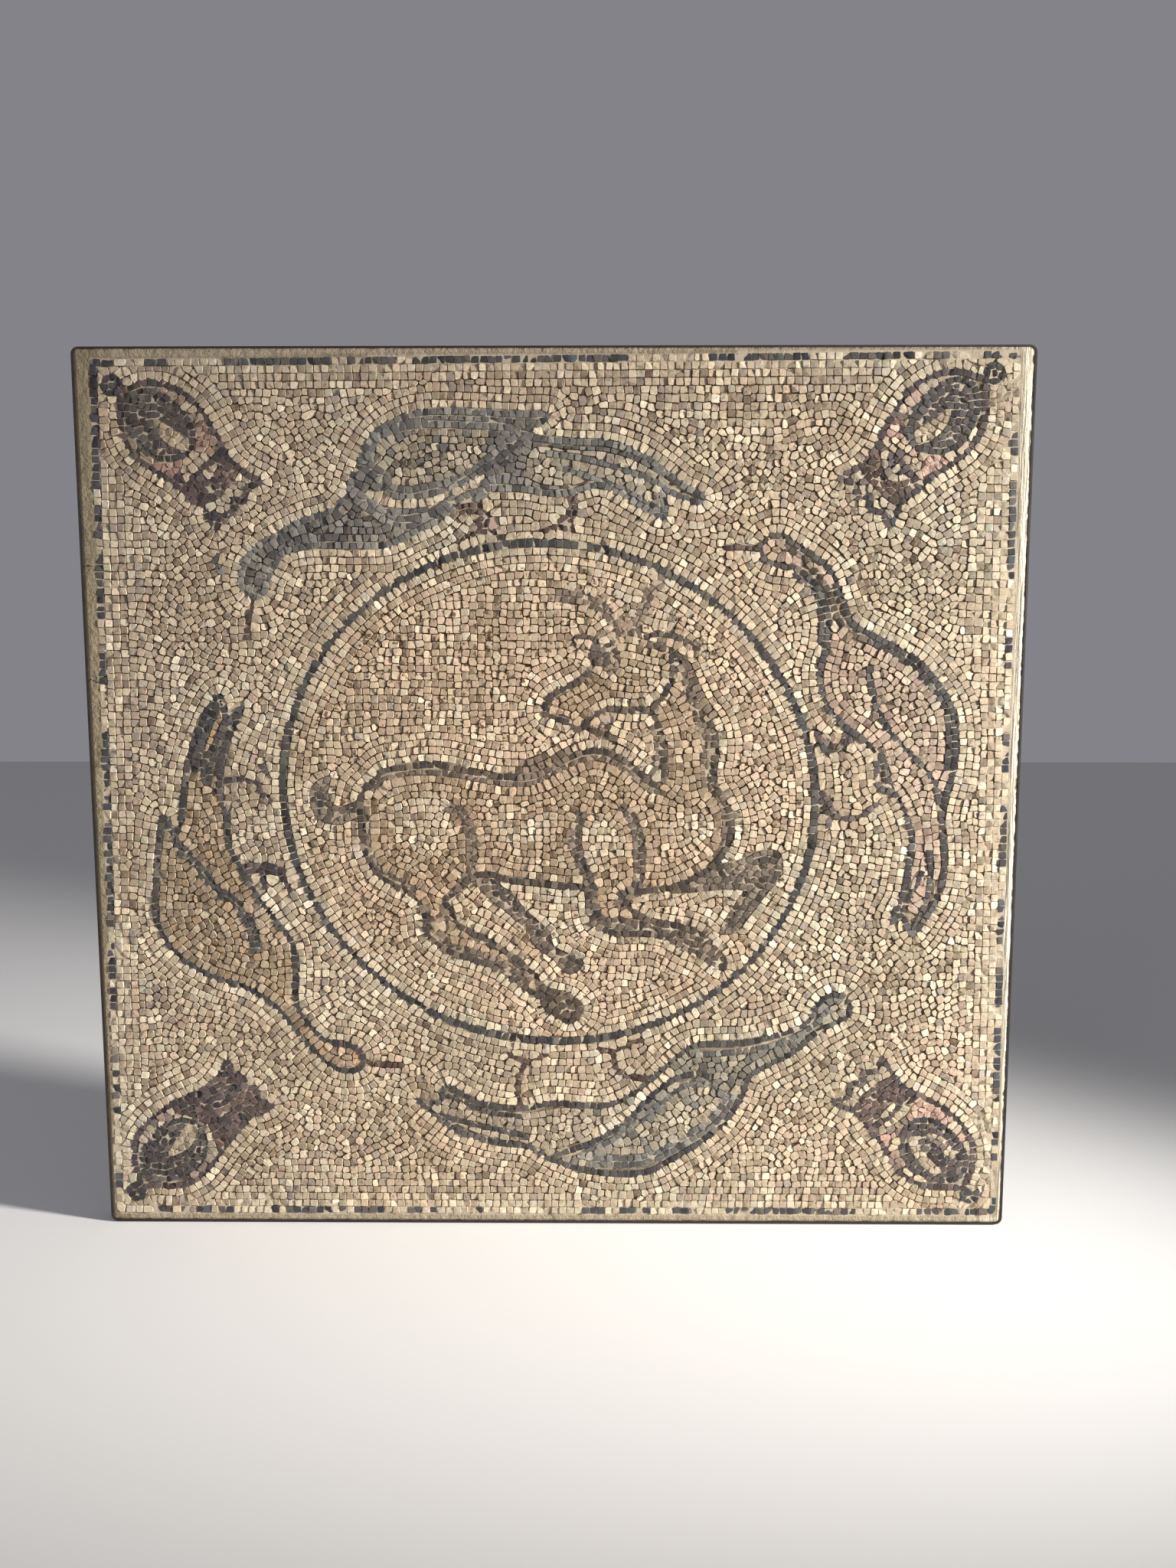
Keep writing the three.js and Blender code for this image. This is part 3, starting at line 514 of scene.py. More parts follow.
# Lays one row of stones beside or on a line, and gives its spots to the row's group
def layRow(points, width, group, closed=False, offset=0.0, stone="", paint=True):
    line = smoothLine(points, closed)
    along = directions(line, closed)
    across = np.column_stack([-along[:, 1], along[:, 0]])
    if paint:
        for side in np.arange(-width / 2, width / 2 + 0.01, 0.4):
            spots[spotOf(*(line + (offset + side) * across).T)] = group
    middle = line + offset * across
    reach = lengthsAlong(middle)
    pitch = groups[group]["pitch"]
    count = max(int(round(reach[-1] / pitch)), 1)
    start = rng.uniform(0, 1) if closed else 0.5
    wanted = (np.arange(count) + start) / count * reach[-1]
    wanted = wanted + rng.uniform(-0.1, 0.1, count) * pitch
    for at in np.clip(np.searchsorted(reach, wanted), 0, len(line) - 1):
        turn = math.atan2(along[at, 1], along[at, 0])
        seatStone(middle[at, 0], middle[at, 1], turn, group, layout["rowStoneWide"], stone)
    leadRows(middle, along)


# Seats for rows of ground stones that follow a closed line
def followRows(points, inside, group, count, width=0.0, nearest="pale"):
    for k in reversed(range(count)):
        far = width / 2 + (k + 0.5) * layout["contourRow"]
        layRow(points, 0, group, True, far if inside else -far, "" if k else nearest, paint=False)


# Points round an oval
def oval(middle, across, up, count, turn=0.0):
    cos, sin = math.cos(turn), math.sin(turn)
    points = []
    for t in np.linspace(0, 2 * math.pi, count + 1)[:-1]:
        u, v = across * math.cos(t), up * math.sin(t)
        points.append((middle[0] + u * cos - v * sin, middle[1] + u * sin + v * cos))
    return points


# The same closed line, running so that its left side is inside
def turnedOut(points):
    p = np.array(points, float)
    area = np.sum(p[:, 0] * np.roll(p[:, 1], -1) - np.roll(p[:, 0], -1) * p[:, 1])
    return points if area > 0 else points[::-1]


# The bare margin beside each corner of the stones, across and up, from the bottom left anticlockwise
margins = [(9, 14.5), (9, 14.5), (24, 8), (27, 18)]


# The border row's outer corners, moved in
def fieldCorners(inset):
    corners = []
    for (across, up), (sideX, sideZ) in zip(margins, [(-1, -1), (1, -1), (1, 1), (-1, 1)]):
        corners.append((sideX * (halfWidth - inset - across), sideZ * (halfHeight - inset - up)))
    return corners


def straightSides(corners):
    return [[a, b] for a, b in zip(corners, corners[1:] + corners[:1])]


def layBorder():
    outer = newGroup("outerGround", "ground", layout["pitch"], layout["joint"])
    row = newGroup("borderStones", "mixed", 12.4, 1.2)
    corners = fieldCorners(0)
    line = np.array(corners)
    columns = (line[:, 0] + halfWidth) / layout["spot"]
    heights = (line[:, 1] + halfHeight) / layout["spot"]
    y, x = np.mgrid[0:spotsUp, 0:spotsAcross]
    inside = np.ones(spots.shape, bool)
    for i in range(4):
        j = (i + 1) % 4
        side = (columns[j] - columns[i]) * (y - heights[i]) - (heights[j] - heights[i]) * (x - columns[i])
        inside &= side > 0
    spots[inside] = outer
    width = layout["borderRow"]
    for side in straightSides(fieldCorners(width / 2)):
        layRow(side, width, row)
    for k in reversed(range(layout["groundRows"])):
        for side in straightSides(fieldCorners(width + (k + 0.5) * layout["contourRow"])):
            layRow(side, 0, outer, stone="" if k else "pale", paint=False)
    return outer


def layRing(outer):
    medallion = newGroup("medallionGround", "medallion", layout["pitch"], layout["joint"])
    dark = newGroup("ringStones", "ringDark", 11.6, layout["darkJoint"])
    fillShape(ring, medallion)
    followRows(ring, False, outer, layout["groundRows"], layout["ringRow"])
    followRows(ring, True, medallion, layout["groundRows"], layout["ringRow"])
    layRow(ring, layout["ringRow"], dark, True)
    return medallion


def layFigure(name, figure, ground):
    outline = turnedOut(figure["outline"])
    fill = newGroup(name + "Fill", figure["fill"], figure["pitch"], layout["joint"], core=figure["core"],
                    edgeDepth=figure["edgeDepth"], paleSpots=figure["paleSpots"])
    dark = newGroup(name + "Outline", figure["stone"], figure["row"], layout["darkJoint"])
    for _, points in figure["solids"]:
        followRows(turnedOut(points), False, ground, 1)
    followRows(outline, False, ground, layout["groundRows"], figure["row"])
    fillShape(outline, fill, onlyOn=[ground])
    followRows(outline, True, fill, 2, figure["row"], nearest="")
    for stone, points in figure.get("areas", []):
        area = newGroup(name + "Fill", stone, figure["pitch"], layout["joint"])
        fillShape(points, area, onlyOn=[fill])
    for stone, points in figure["solids"]:
        solid = newGroup(name + "Outline", stone, layout["solidPitch"], layout["darkJoint"])
        fillShape(turnedOut(points), solid)
    for stone, width, count, points in figure["rows"]:
        inFill = stone in ("pale", "featherPale", "hidePale")
        group = fill if inFill else newGroup(name + "Outline", stone, width + 0.8, layout["darkJoint"])
        for k in range(count):
            layRow(points, width, group, offset=(k - (count - 1) / 2) * width, stone=stone, paint=not inFill)
    layRow(outline, figure["row"], dark, True)


def layBud(name, place, ground):
    stem, mouth = place["stem"], place["open"]
    angle = math.atan2(mouth[1] - stem[1], mouth[0] - stem[0])
    scale = math.hypot(mouth[0] - stem[0], mouth[1] - stem[1]) / bud["length"]
    side = scale if math.cos(angle) > 0 else -scale

    def put(points):
        return [(stem[0] + scale * u * math.cos(angle) - side * v * math.sin(angle),
                 stem[1] + scale * u * math.sin(angle) + side * v * math.cos(angle)) for u, v in points]

    def part(piece, stone, pitch=bud["row"], joint=layout["darkJoint"]):
        return newGroup(name + piece, stone, pitch, joint)

    outline = turnedOut(put(bud["outline"]))
    followRows(outline, False, ground, layout["groundRows"], bud["row"])
    flesh = part("Flesh", "flesh", 11.4, layout["joint"])
    fillShape(outline, flesh)
    openEnd = part("Mouth", place.get("mouth", "mouthPale"), joint=layout["joint"])
    fillShape(put(bud["openEnd"]), openEnd, onlyOn=[flesh])
    fleshGroups, mouthGroups = [flesh], [openEnd]
    for stone, points in place.get("areas", bud["areas"]):
        for piece, inside in (("Flesh", fleshGroups), ("Mouth", mouthGroups)):
            area = part(piece, stone)
            fillShape(put(points), area, onlyOn=inside)
            inside.append(area)
    leaf = part("Leaf", "leafDark", layout["solidPitch"])
    fillShape(put(bud["leaf"]), leaf)
    for stone, points in place.get("leafAreas", bud["leafAreas"]):
        fillShape(put(points), part("Leaf", stone), onlyOn=[leaf])
    layRow(put(bud["leaf"]), 10, part("Leaf", "charcoal", layout["solidPitch"]), True)
    fillShape(oval(stem, bud["stemRadius"], bud["stemRadius"], 8), part("Outline", "charcoal"))
    dark = part("Outline", "purple")
    layRow(outline, bud["row"], dark, True)
    layRow(put(bud["collar"]), bud["row"], dark)


print("drawing the figures")
outer = layBorder()
medallion = layRing(outer)
layFigure("antelope", antelope, medallion)
for duckName, duck in ducks.items():
    layFigure(duckName, duck, outer)
for place, values in bud["places"].items():
    layBud(place + "Bud", values, outer)


# A long pale pebble lies among the stones above the top duck's neck
pebble = {"at": (-369, 590), "length": 27, "width": 14, "turn": 0.4}


def layPebble():
    group = newGroup("outerGround", "pale", 24, 0.9)
    fillShape(oval(pebble["at"], pebble["length"] / 2, pebble["width"] / 2, 12, pebble["turn"]), group)
    seatStone(*pebble["at"], pebble["turn"], group, 2.0)


layPebble()


# Soft random hills, a few grid cells across
def noiseGrid(shape, size, seed):
    source = np.random.default_rng(seed)
    coarse = source.normal(0, 1, (int(shape[0] / size) + 3, int(shape[1] / size) + 3))
    y = np.linspace(0, coarse.shape[0] - 2.001, shape[0])
    x = np.linspace(0, coarse.shape[1] - 2.001, shape[1])
    yi, xi = y.astype(int), x.astype(int)
    fy, fx = (y - yi)[:, None], (x - xi)[None, :]
    fy, fx = fy * fy * (3 - 2 * fy), fx * fx * (3 - 2 * fx)
    top = coarse[np.ix_(yi, xi)] * (1 - fx) + coarse[np.ix_(yi, xi + 1)] * fx
    foot = coarse[np.ix_(yi + 1, xi)] * (1 - fx) + coarse[np.ix_(yi + 1, xi + 1)] * fx
    return top * (1 - fy) + foot * fy


# The direction of the rows everywhere, led by the nearest drawn lines
def flowField(cell=6.0):
    for points in guides:
        line = smoothLine(points)
        leadRows(line, directions(line, False))
    gridX, gridZ = np.meshgrid(np.arange(-halfWidth, halfWidth + cell, cell),
                               np.arange(-halfHeight, halfHeight + cell, cell))
    lines = np.array(flow, np.float32)
    places = np.column_stack([gridX.ravel(), gridZ.ravel()]).astype(np.float32)
    turn = np.zeros((len(places), 2), np.float32)
    nearest = np.zeros(len(places), np.float32)
    four = np.column_stack([np.cos(4 * lines[:, 2]), np.sin(4 * lines[:, 2])])
    for start in range(0, len(places), 3000):
        part = places[start:start + 3000]
        far = (part[:, 0:1] - lines[:, 0]) ** 2 + (part[:, 1:2] - lines[:, 1]) ** 2
        nearest[start:start + 3000] = np.sqrt(far.min(axis=1))
        weight = 1 / (far + 16) ** 2
        turn[start:start + 3000] = weight @ four / weight.sum(axis=1)[:, None]
    # The upper left of the medallion is laid straight, and its right side slanting
    x, z = places.T
    within = np.hypot(x, z) < layout["medallionReach"]
    pull = np.clip((nearest - 16) / 16, 0, 1)[:, None]
    for part, lean in ((within & (x < 60) & (z > 60), 0), (within & (x > 280), layout["slant"])):
        own = np.array([[math.cos(4 * lean), math.sin(4 * lean)]])
        turn = np.where(part[:, None], turn * (1 - pull) + pull * own, turn)
    angle = np.arctan2(turn[:, 1], turn[:, 0]) / 4
    angle = angle.reshape(gridX.shape) + 0.07 * noiseGrid(gridX.shape, 9, 5)
    return angle, nearest.reshape(gridX.shape), cell


def lookUp(field, x, z, cell):
    column = np.clip(np.round((x + halfWidth) / cell).astype(int), 0, field.shape[1] - 1)
    line = np.clip(np.round((z + halfHeight) / cell).astype(int), 0, field.shape[0] - 1)
    return field[line, column]


# Drops the stones of rows that another row was painted over, or that crowd a later stone
def clearRows():
    seats = {}
    kept = []
    for i in range(len(laid["x"]) - 1, -1, -1):
        x, z, group = laid["x"][i], laid["z"][i], laid["group"][i]
        line, column = spotOf(np.array(x), np.array(z))
        if spots[line, column] != group:
            continue
        square = (int(x // layout["reach"]), int(z // layout["reach"]))
        close = layout["crowding"] * groups[group]["pitch"]
        nearby = [seats.get((square[0] + a, square[1] + b), []) for a in (-1, 0, 1) for b in (-1, 0, 1)]
        if any(math.hypot(x - ox, z - oz) < close for found in nearby for ox, oz in found):
            continue
        seats.setdefault(square, []).append((x, z))
        kept.append(i)
    return {key: [laid[key][i] for i in kept] for key in laid}


# Starts the stones of the areas on a lattice, one where its group covers enough of a square
def scatterStones(coarse, step):
    rows = clearRows()
    lines, columns = np.nonzero(coarse > 0)
    group = coarse[lines, columns].astype(np.int64)
    x = columns * step + step / 2 - halfWidth
    z = lines * step + step / 2 - halfHeight
    pitches = ofGroups("pitch")
    # What the rows already cover is left out
    covered = np.zeros(coarse.shape, bool)
    rowLine = ((np.array(rows["z"]) + halfHeight) / step).astype(int)
    rowColumn = ((np.array(rows["x"]) + halfWidth) / step).astype(int)
    for dz in range(-8, 9):
        for dx in range(-8, 9):
            far = math.hypot(dx, dz) * step
            near = far < layout["covered"] * pitches[np.array(rows["group"])]
            covered[np.clip(rowLine[near] + dz, 0, coarse.shape[0] - 1),
                    np.clip(rowColumn[near] + dx, 0, coarse.shape[1] - 1)] = True
    free = ~covered[lines, columns]
    group, x, z = group[free], x[free], z[free]
    pitch = pitches[group]
    square = group * 40000
    square += ((z + halfHeight) // pitch).astype(int) * 200 + ((x + halfWidth) // pitch).astype(int)
    names, where, counts = np.unique(square, return_inverse=True, return_counts=True)
    middleX = np.bincount(where, x) / counts
    middleZ = np.bincount(where, z) / counts
    own = names // 40000
    keep = counts * step * step > layout["leastStart"] * pitches[own] ** 2
    total = int(keep.sum())
    added = {
        "x": middleX[keep] + rng.uniform(-layout["scatter"], layout["scatter"], total),
        "z": middleZ[keep] + rng.uniform(-layout["scatter"], layout["scatter"], total),
        "group": own[keep],
        "turn": np.zeros(total),
        "fixed": np.zeros(total, bool),
        "wide": rng.normal(1.04, 0.11, total),
        "tall": rng.normal(1.0, 0.07, total),
        "stone": np.full(total, "", object),
    }
    rows["stone"] = np.array(rows["stone"], object)
    return {key: np.concatenate([np.array(rows[key]), added[key]]) for key in laid}


# Every spot goes to the stone of its own group that is nearest, measured square to the stone
def claimSpots(stones, grid, step):
    owner = np.full(grid.shape, -1, np.int32)
    best = np.full(grid.shape, np.inf, np.float32)
    x, z, wide, tall = (stones[key].astype(np.float32) for key in ("x", "z", "wide", "tall"))
    cos = np.cos(stones["turn"]).astype(np.float32)
    sin = np.sin(stones["turn"]).astype(np.float32)
    column = ((x + halfWidth) / step).astype(np.int32)
    line = ((z + halfHeight) / step).astype(np.int32)
    group = stones["group"].astype(np.int16)
    numbers = np.arange(len(x), dtype=np.int32)
    reach = int(layout["reach"] / step)
    flat, flatOwner, flatBest = grid.ravel(), owner.ravel(), best.ravel()
    for dz in range(-reach, reach + 1):
        py = line + dz
        offZ = (py + 0.5) * step - halfHeight - z
        rowOk = (py >= 0) & (py < grid.shape[0])
        for dx in range(-reach, reach + 1):
            px = column + dx
            ok = rowOk & (px >= 0) & (px < grid.shape[1])
            index = np.where(ok, py * grid.shape[1] + px, 0)
            ok &= flat[index] == group
            offX = (px + 0.5) * step - halfWidth - x
            u = np.abs(offX * cos + offZ * sin) / wide
            v = np.abs(offZ * cos - offX * sin) / tall
            far = np.maximum(u, v) + 0.12 * np.minimum(u, v)
            ok &= far < flatBest[index]
            hit = index[ok]
            flatBest[hit] = far[ok]
            flatOwner[hit] = numbers[ok]
    return owner


def settleStones():
    step = 2 * layout["spot"]
    coarse = spots[::2, ::2]
    angle, nearest, cell = flowField()
    stones = scatterStones(coarse, step)
    stones["sway"] = rng.normal(0, 0.07, len(stones["x"]))
    y, x = np.mgrid[0:coarse.shape[0], 0:coarse.shape[1]]
    x = (x + 0.5).ravel() * step - halfWidth
    z = (y + 0.5).ravel() * step - halfHeight
    pitches = ofGroups("pitch")
    for settling in range(layout["rounds"]):
        free = ~stones["fixed"]
        lead = lookUp(angle, stones["x"], stones["z"], cell) + stones["sway"]
        stones["turn"] = np.where(free, lead, stones["turn"])
        owner = claimSpots(stones, coarse, step).ravel()
        owned = owner >= 0
        count = np.bincount(owner[owned], minlength=len(free))
        size = np.maximum(count, 1)
        meanX = np.bincount(owner[owned], x[owned], minlength=len(free)) / size
        meanZ = np.bincount(owner[owned], z[owned], minlength=len(free)) / size
        move = free & (count > 0)
        stones["x"] = np.where(move, meanX, stones["x"])
        stones["z"] = np.where(move, meanZ, stones["z"])
        if settling in layout["splitRounds"]:  # a stone with room for two becomes two, and slivers go
            share = count * step * step / pitches[stones["group"]] ** 2
            keep = share > layout["sliver"]
            big = keep & free & (share > layout["double"])
            lean = rng.uniform(0, math.pi, len(free))
            extra = {key: stones[key][big] for key in stones}
            for key, way in (("x", np.cos(lean)), ("z", np.sin(lean))):
                extra[key] = extra[key] + layout["scatter"] * way[big]
                stones[key] = np.where(big, stones[key] - layout["scatter"] * way, stones[key])
            stones = {key: np.concatenate([stones[key][keep], extra[key]]) for key in stones}
    stones["edge"] = lookUp(nearest, stones["x"], stones["z"], cell)
    return stones


# Eight outline points for every stone: the farthest spots that it holds in eight directions
def cutOutlines(stones):
    step = layout["spot"]
    owner = claimSpots(stones, spots, step).ravel()
    held = np.nonzero(owner >= 0)[0]
    who = owner[held]
    total = len(stones["x"])
    x = (held % spotsAcross + 0.5) * step - halfWidth
    z = (held // spotsAcross + 0.5) * step - halfHeight
    count = np.bincount(who, minlength=total)
    size = np.maximum(count, 1)
    middle = np.column_stack([np.bincount(who, x, total), np.bincount(who, z, total)]) / size[:, None]
    x, z = x - middle[who, 0], z - middle[who, 1]
    cos, sin = np.cos(stones["turn"]), np.sin(stones["turn"])
    u, v = x * cos[who] + z * sin[who], z * cos[who] - x * sin[who]
    spreadU = np.sqrt(np.maximum(3 * np.bincount(who, u * u, total) / size, 0.01))
    spreadV = np.sqrt(np.maximum(3 * np.bincount(who, v * v, total) / size, 0.01))
    sector = ((np.arctan2(v / spreadV[who], u / spreadU[who]) % (2 * math.pi)) // (math.pi / 4)).astype(int)
    place = who * 8 + np.minimum(sector, 7)
    # A stray spot on the far side of another stone doesn't count
    far = np.hypot(u, v)
    reach = np.minimum(far, layout["spread"] * step * np.sqrt(size)[who])
    stray = reach < far
    u = np.where(stray, u * reach / np.maximum(far, 1e-6), u)
    v = np.where(stray, v * reach / np.maximum(far, 1e-6), v)
    farthest = np.zeros(total * 8)
    np.maximum.at(farthest, place, reach)
    near = reach > farthest[place] - 0.9  # spots that share in a corner, in millimetres from its tip
    seen = np.bincount(place[near], minlength=total * 8)
    outU = (np.bincount(place[near], u[near], total * 8) / np.maximum(seen, 1)).reshape(total, 8)
    outV = (np.bincount(place[near], v[near], total * 8) / np.maximum(seen, 1)).reshape(total, 8)
    # A corner is never quite sharp, so its two points are drawn a little apart
    angle = (np.arange(8) + 0.5) * math.pi / 4
    boxU = np.clip(layout["squareness"] * np.cos(angle), -1, 1) * spreadU[:, None]
    boxV = np.clip(layout["squareness"] * np.sin(angle), -1, 1) * spreadV[:, None]
    keep = layout["hug"]
    outU, outV = keep * outU + (1 - keep) * boxU, keep * outV + (1 - keep) * boxV
    joints = ofGroups("joint")[stones["group"]][:, None]
    outU = outU * (1 - (joints / 2 - 0.2) / spreadU[:, None])
    outV = outV * (1 - (joints / 2 - 0.2) / spreadV[:, None])
    outlines = np.stack([middle[:, :1] + outU * cos[:, None] - outV * sin[:, None],
                         middle[:, 1:] + outU * sin[:, None] + outV * cos[:, None]], axis=2)
    allSeen = seen.reshape(total, 8).min(axis=1) > 0
    wideEnough = (spreadU > layout["leastHalf"]) & (spreadV > layout["leastHalf"])
    good = (count * step * step > layout["leastArea"]) & wideEnough & allSeen
    return outlines, middle, good


print("setting the stones")
stones = settleStones()
outlines, middles, good = cutOutlines(stones)
print("stones:", int(good.sum()), "left out:", int((~good).sum()))


def linear(hexColour):
    values = np.array([int(hexColour[i:i + 2], 16) / 255 for i in (1, 3, 5)])
    return np.where(values <= 0.04045, values / 12.92, ((values + 0.055) / 1.055) ** 2.4)


# How much the stones of one colour differ, singly and over broad stretches
mixing = {"lightness": 0.075, "hue": 0.013, "stretch": 0.045, "pinkStretch": (0.022, 0.0, -0.012)}


def pickColours(name, count):
    shades = np.array([linear(code) for code, share in stoneColours[name]])
    shares = np.array([share for code, share in stoneColours[name]], float)
    picked = shades[rng.choice(len(shades), count, p=shares / shares.sum())]
    lightness = rng.normal(1, mixing["lightness"], (count, 1))
    return picked * lightness * rng.normal(1, mixing["hue"], (count, 3))


def insideOf(points, x, z):
    inside = np.zeros(len(x), bool)
    for (ax, az), (bx, bz) in zip(points, points[1:] + points[:1]):
        if az != bz:
            inside ^= ((az > z) != (bz > z)) & (x < ax + (z - az) * (bx - ax) / (bz - az))
    return inside


# Share of the border's dark stones that pale ones replaced, side by side
borderLost = {"top": 0.22, "right": 0.5, "bottom": 0.42, "left": 0.45, "sidesFrom": 680, "topFrom": 650}


# Every stone's own colour, by its group, with the pale middles of the figures
def colourStones():
    total = len(stones["x"])
    colours = np.zeros((total, 3))
    for number, group in enumerate(groups):
        own = np.nonzero(stones["group"] == number)[0]
        if not len(own):
            continue
        colours[own] = pickColours(group["stone"], len(own))
        if group["piece"] == "borderStones":
            # Whole runs of the dark border stones were replaced by pale ones, most of them on the right
            x, z = stones["x"][own], stones["z"][own]
            lost = np.where(x > borderLost["sidesFrom"], borderLost["right"], borderLost["bottom"])
            lost = np.where(x < -borderLost["sidesFrom"], borderLost["left"], lost)
            lost = np.where(z > borderLost["topFrom"], borderLost["top"], lost)
            run = noiseGrid((60, 60), 1.6, 31)[((z + 700) / 24).astype(int), ((x + 730) / 24.8).astype(int)]
            rank = (np.argsort(np.argsort(run + rng.normal(0, 0.25, len(own)))) + 0.5) / len(own)
            colours[own[rank < lost]] = pickColours("pale", int((rank < lost).sum()))
        if group.get("core"):
            inner = np.clip((stones["edge"][own] - group["edgeDepth"]) / 18, 0, 1)
            for x, z, radius in group["paleSpots"]:
                far = np.hypot(stones["x"][own] - x, stones["z"][own] - z)
                inner = np.maximum(inner, np.clip((radius - far) / 16 + 0.5, 0, 1))
            pale = rng.uniform(0, 1, len(own)) < inner * 0.9
            colours[own[pale]] = pickColours(group["core"], int(pale.sum()))
    for name in sorted(set(stones["stone"]) - {""}):
        own = np.nonzero(stones["stone"] == name)[0]
        colours[own] = pickColours(name, len(own))
    for stone, points in antelope["repaint"]:
        own = np.nonzero(insideOf(points, stones["x"], stones["z"]))[0]
        colours[own] = pickColours(stone, len(own))
    # Lots of stone came mixed: some stretches are greyer, some pinker, some darker
    shape = (120, 126)
    line = np.clip((stones["z"] + halfHeight) / 11.6, 0, shape[0] - 1).astype(int)
    column = np.clip((stones["x"] + halfWidth) / 11.6, 0, shape[1] - 1).astype(int)
    pink = noiseGrid(shape, 13, 21)[line, column][:, None]
    bright = noiseGrid(shape, 8, 22)[line, column][:, None]
    colours = colours * (1 + mixing["stretch"] * bright) * (1 + pink * np.array(mixing["pinkStretch"]))
    return np.clip(colours, 0.004, 0.9)


colours = colourStones()

# One stone, modelled once: worn shoulders over straight sides. Depths in millimetres
stone = {
    "depth": 7.5, "shoulder": 0.09, "fall": 0.65, "crown": 0.12,  # its form
    "cornerCut": 0.13, "uneven": 0.045, "chips": 0.14,  # its outline, and the share of chipped stones
    "tilt": 0.7, "sink": 1.05, "sinkSpread": 0.6,  # how it lies in the mortar
}


def modelStone():
    bpy.ops.mesh.primitive_cube_add(size=2, location=(0, 0, 0))
    block = bpy.context.object
    bpy.ops.object.mode_set(mode="EDIT")
    bpy.ops.mesh.select_mode(type="EDGE")
    bpy.ops.mesh.select_all(action="DESELECT")
    bpy.ops.object.mode_set(mode="OBJECT")
    for edge in block.data.edges:
        a, b = (block.data.vertices[i].co for i in edge.vertices)
        edge.select = abs(a.y - b.y) > 1
    bpy.ops.object.mode_set(mode="EDIT")
    bpy.ops.mesh.bevel(offset=stone["cornerCut"], offset_type="OFFSET", segments=1, affect="EDGES")
    bpy.ops.mesh.select_mode(type="FACE")
    bpy.ops.object.mode_set(mode="OBJECT")
    for face in block.data.polygons:
        face.select = face.normal.y < -0.9
    bpy.ops.object.mode_set(mode="EDIT")
    bpy.ops.mesh.inset(thickness=stone["shoulder"])
    bpy.ops.transform.translate(value=(0, -stone["fall"], 0))
    bpy.ops.mesh.poke(offset=0)
    bpy.ops.object.mode_set(mode="OBJECT")
    shape = np.array([v.co[:] for v in block.data.vertices])
    faces = [tuple(f.vertices) for f in block.data.polygons]
    bpy.data.objects.remove(block)
    return shape, faces


# Joins the stones of each piece into one mesh, every stone cut to its own corners
def buildPieces(names):
    shape, faces = modelStone()
    s, t = shape[:, 0], shape[:, 2]
    out = np.hypot(s, t)
    front = shape[:, 1] < -1.2
    base = shape[:, 1] > 0.5
    centre = front & (out < 0.1)
    rim = ~front & ~base
    way = ((np.arctan2(t, s) % (2 * math.pi)) // (math.pi / 4)).astype(int) % 8
    share = np.where(centre, 0, out / out[rim].max())
    result = {}
    for name, chosen in names.items():
        total = len(chosen)
        pull = 0.985 + rng.normal(0, stone["uneven"], (total, 8))
        chipped = rng.uniform(0, 1, total) < stone["chips"]
        pull[np.nonzero(chipped)[0], rng.integers(0, 8, int(chipped.sum()))] -= 0.2
        middle = middles[chosen][:, None, :]
        flat = middle + (outlines[chosen][:, way] - middle) * (pull[:, way] * share)[:, :, None]
        sink = rng.normal(stone["sink"], stone["sinkSpread"], total)
        tiltS = rng.normal(0, stone["tilt"], total)
        tiltT = rng.normal(0, stone["tilt"], total)
        deep = sink[:, None] + tiltS[:, None] * s + tiltT[:, None] * t
        deep = deep + np.where(rim, stone["fall"], 0.0)
        deep = deep + np.where(centre, -stone["crown"], 0) + rng.normal(0, 0.08, deep.shape)
        deep = np.where(base, stone["depth"], np.maximum(deep, 0.0))
        vertices = np.stack([flat[:, :, 0] * mm, faceY + deep * mm, flat[:, :, 1] * mm], axis=2)
        result[name] = joinStones(name, vertices, faces, colours[chosen], np.where(rim | base, 1.0, 0.0))
    return result


def joinStones(name, vertices, faces, stoneColour, edge):
    total, each = vertices.shape[:2]
    sizes = np.array([len(f) for f in faces])
    corner = np.concatenate([np.array(f) for f in faces])
    loops = (corner[None, :] + each * np.arange(total)[:, None]).ravel()
    loopTotals = np.tile(sizes, total)
    loopStarts = np.concatenate([[0], np.cumsum(loopTotals)[:-1]])
    mesh = bpy.data.meshes.new(name)
    mesh.vertices.add(total * each)
    mesh.vertices.foreach_set("co", vertices.reshape(-1).astype(np.float32))
    mesh.loops.add(len(loops))
    mesh.loops.foreach_set("vertex_index", loops.astype(np.int32))
    mesh.polygons.add(len(loopTotals))
    mesh.polygons.foreach_set("loop_start", loopStarts.astype(np.int32))
    mesh.polygons.foreach_set("use_smooth", np.zeros(len(loopTotals), bool))
    mesh.update(calc_edges=True)
    shade = mesh.color_attributes.new("stoneColour", "FLOAT_COLOR", "POINT")
    rgba = np.ones((total, each, 4), np.float32)
    rgba[:, :, :3] = stoneColour[:, None, :]
    shade.data.foreach_set("color", rgba.ravel())
    wear = mesh.attributes.new("stoneEdge", "FLOAT", "POINT")
    wear.data.foreach_set("value", np.tile(edge, total).astype(np.float32))
    piece = bpy.data.objects.new(name, mesh)
    bpy.context.collection.objects.link(piece)
    return piece


def newGroupTree(name, inputs, outputs):
    tree = bpy.data.node_groups.new(name, "ShaderNodeTree")
    for label, kind, value in inputs:
        socket = tree.interface.new_socket(name=label, in_out="INPUT", socket_type=kind)
        socket.default_value = value
    for label, kind in outputs:
        tree.interface.new_socket(name=label, in_out="OUTPUT", socket_type=kind)
    return tree, tree.nodes.new("NodeGroupInput"), tree.nodes.new("NodeGroupOutput")


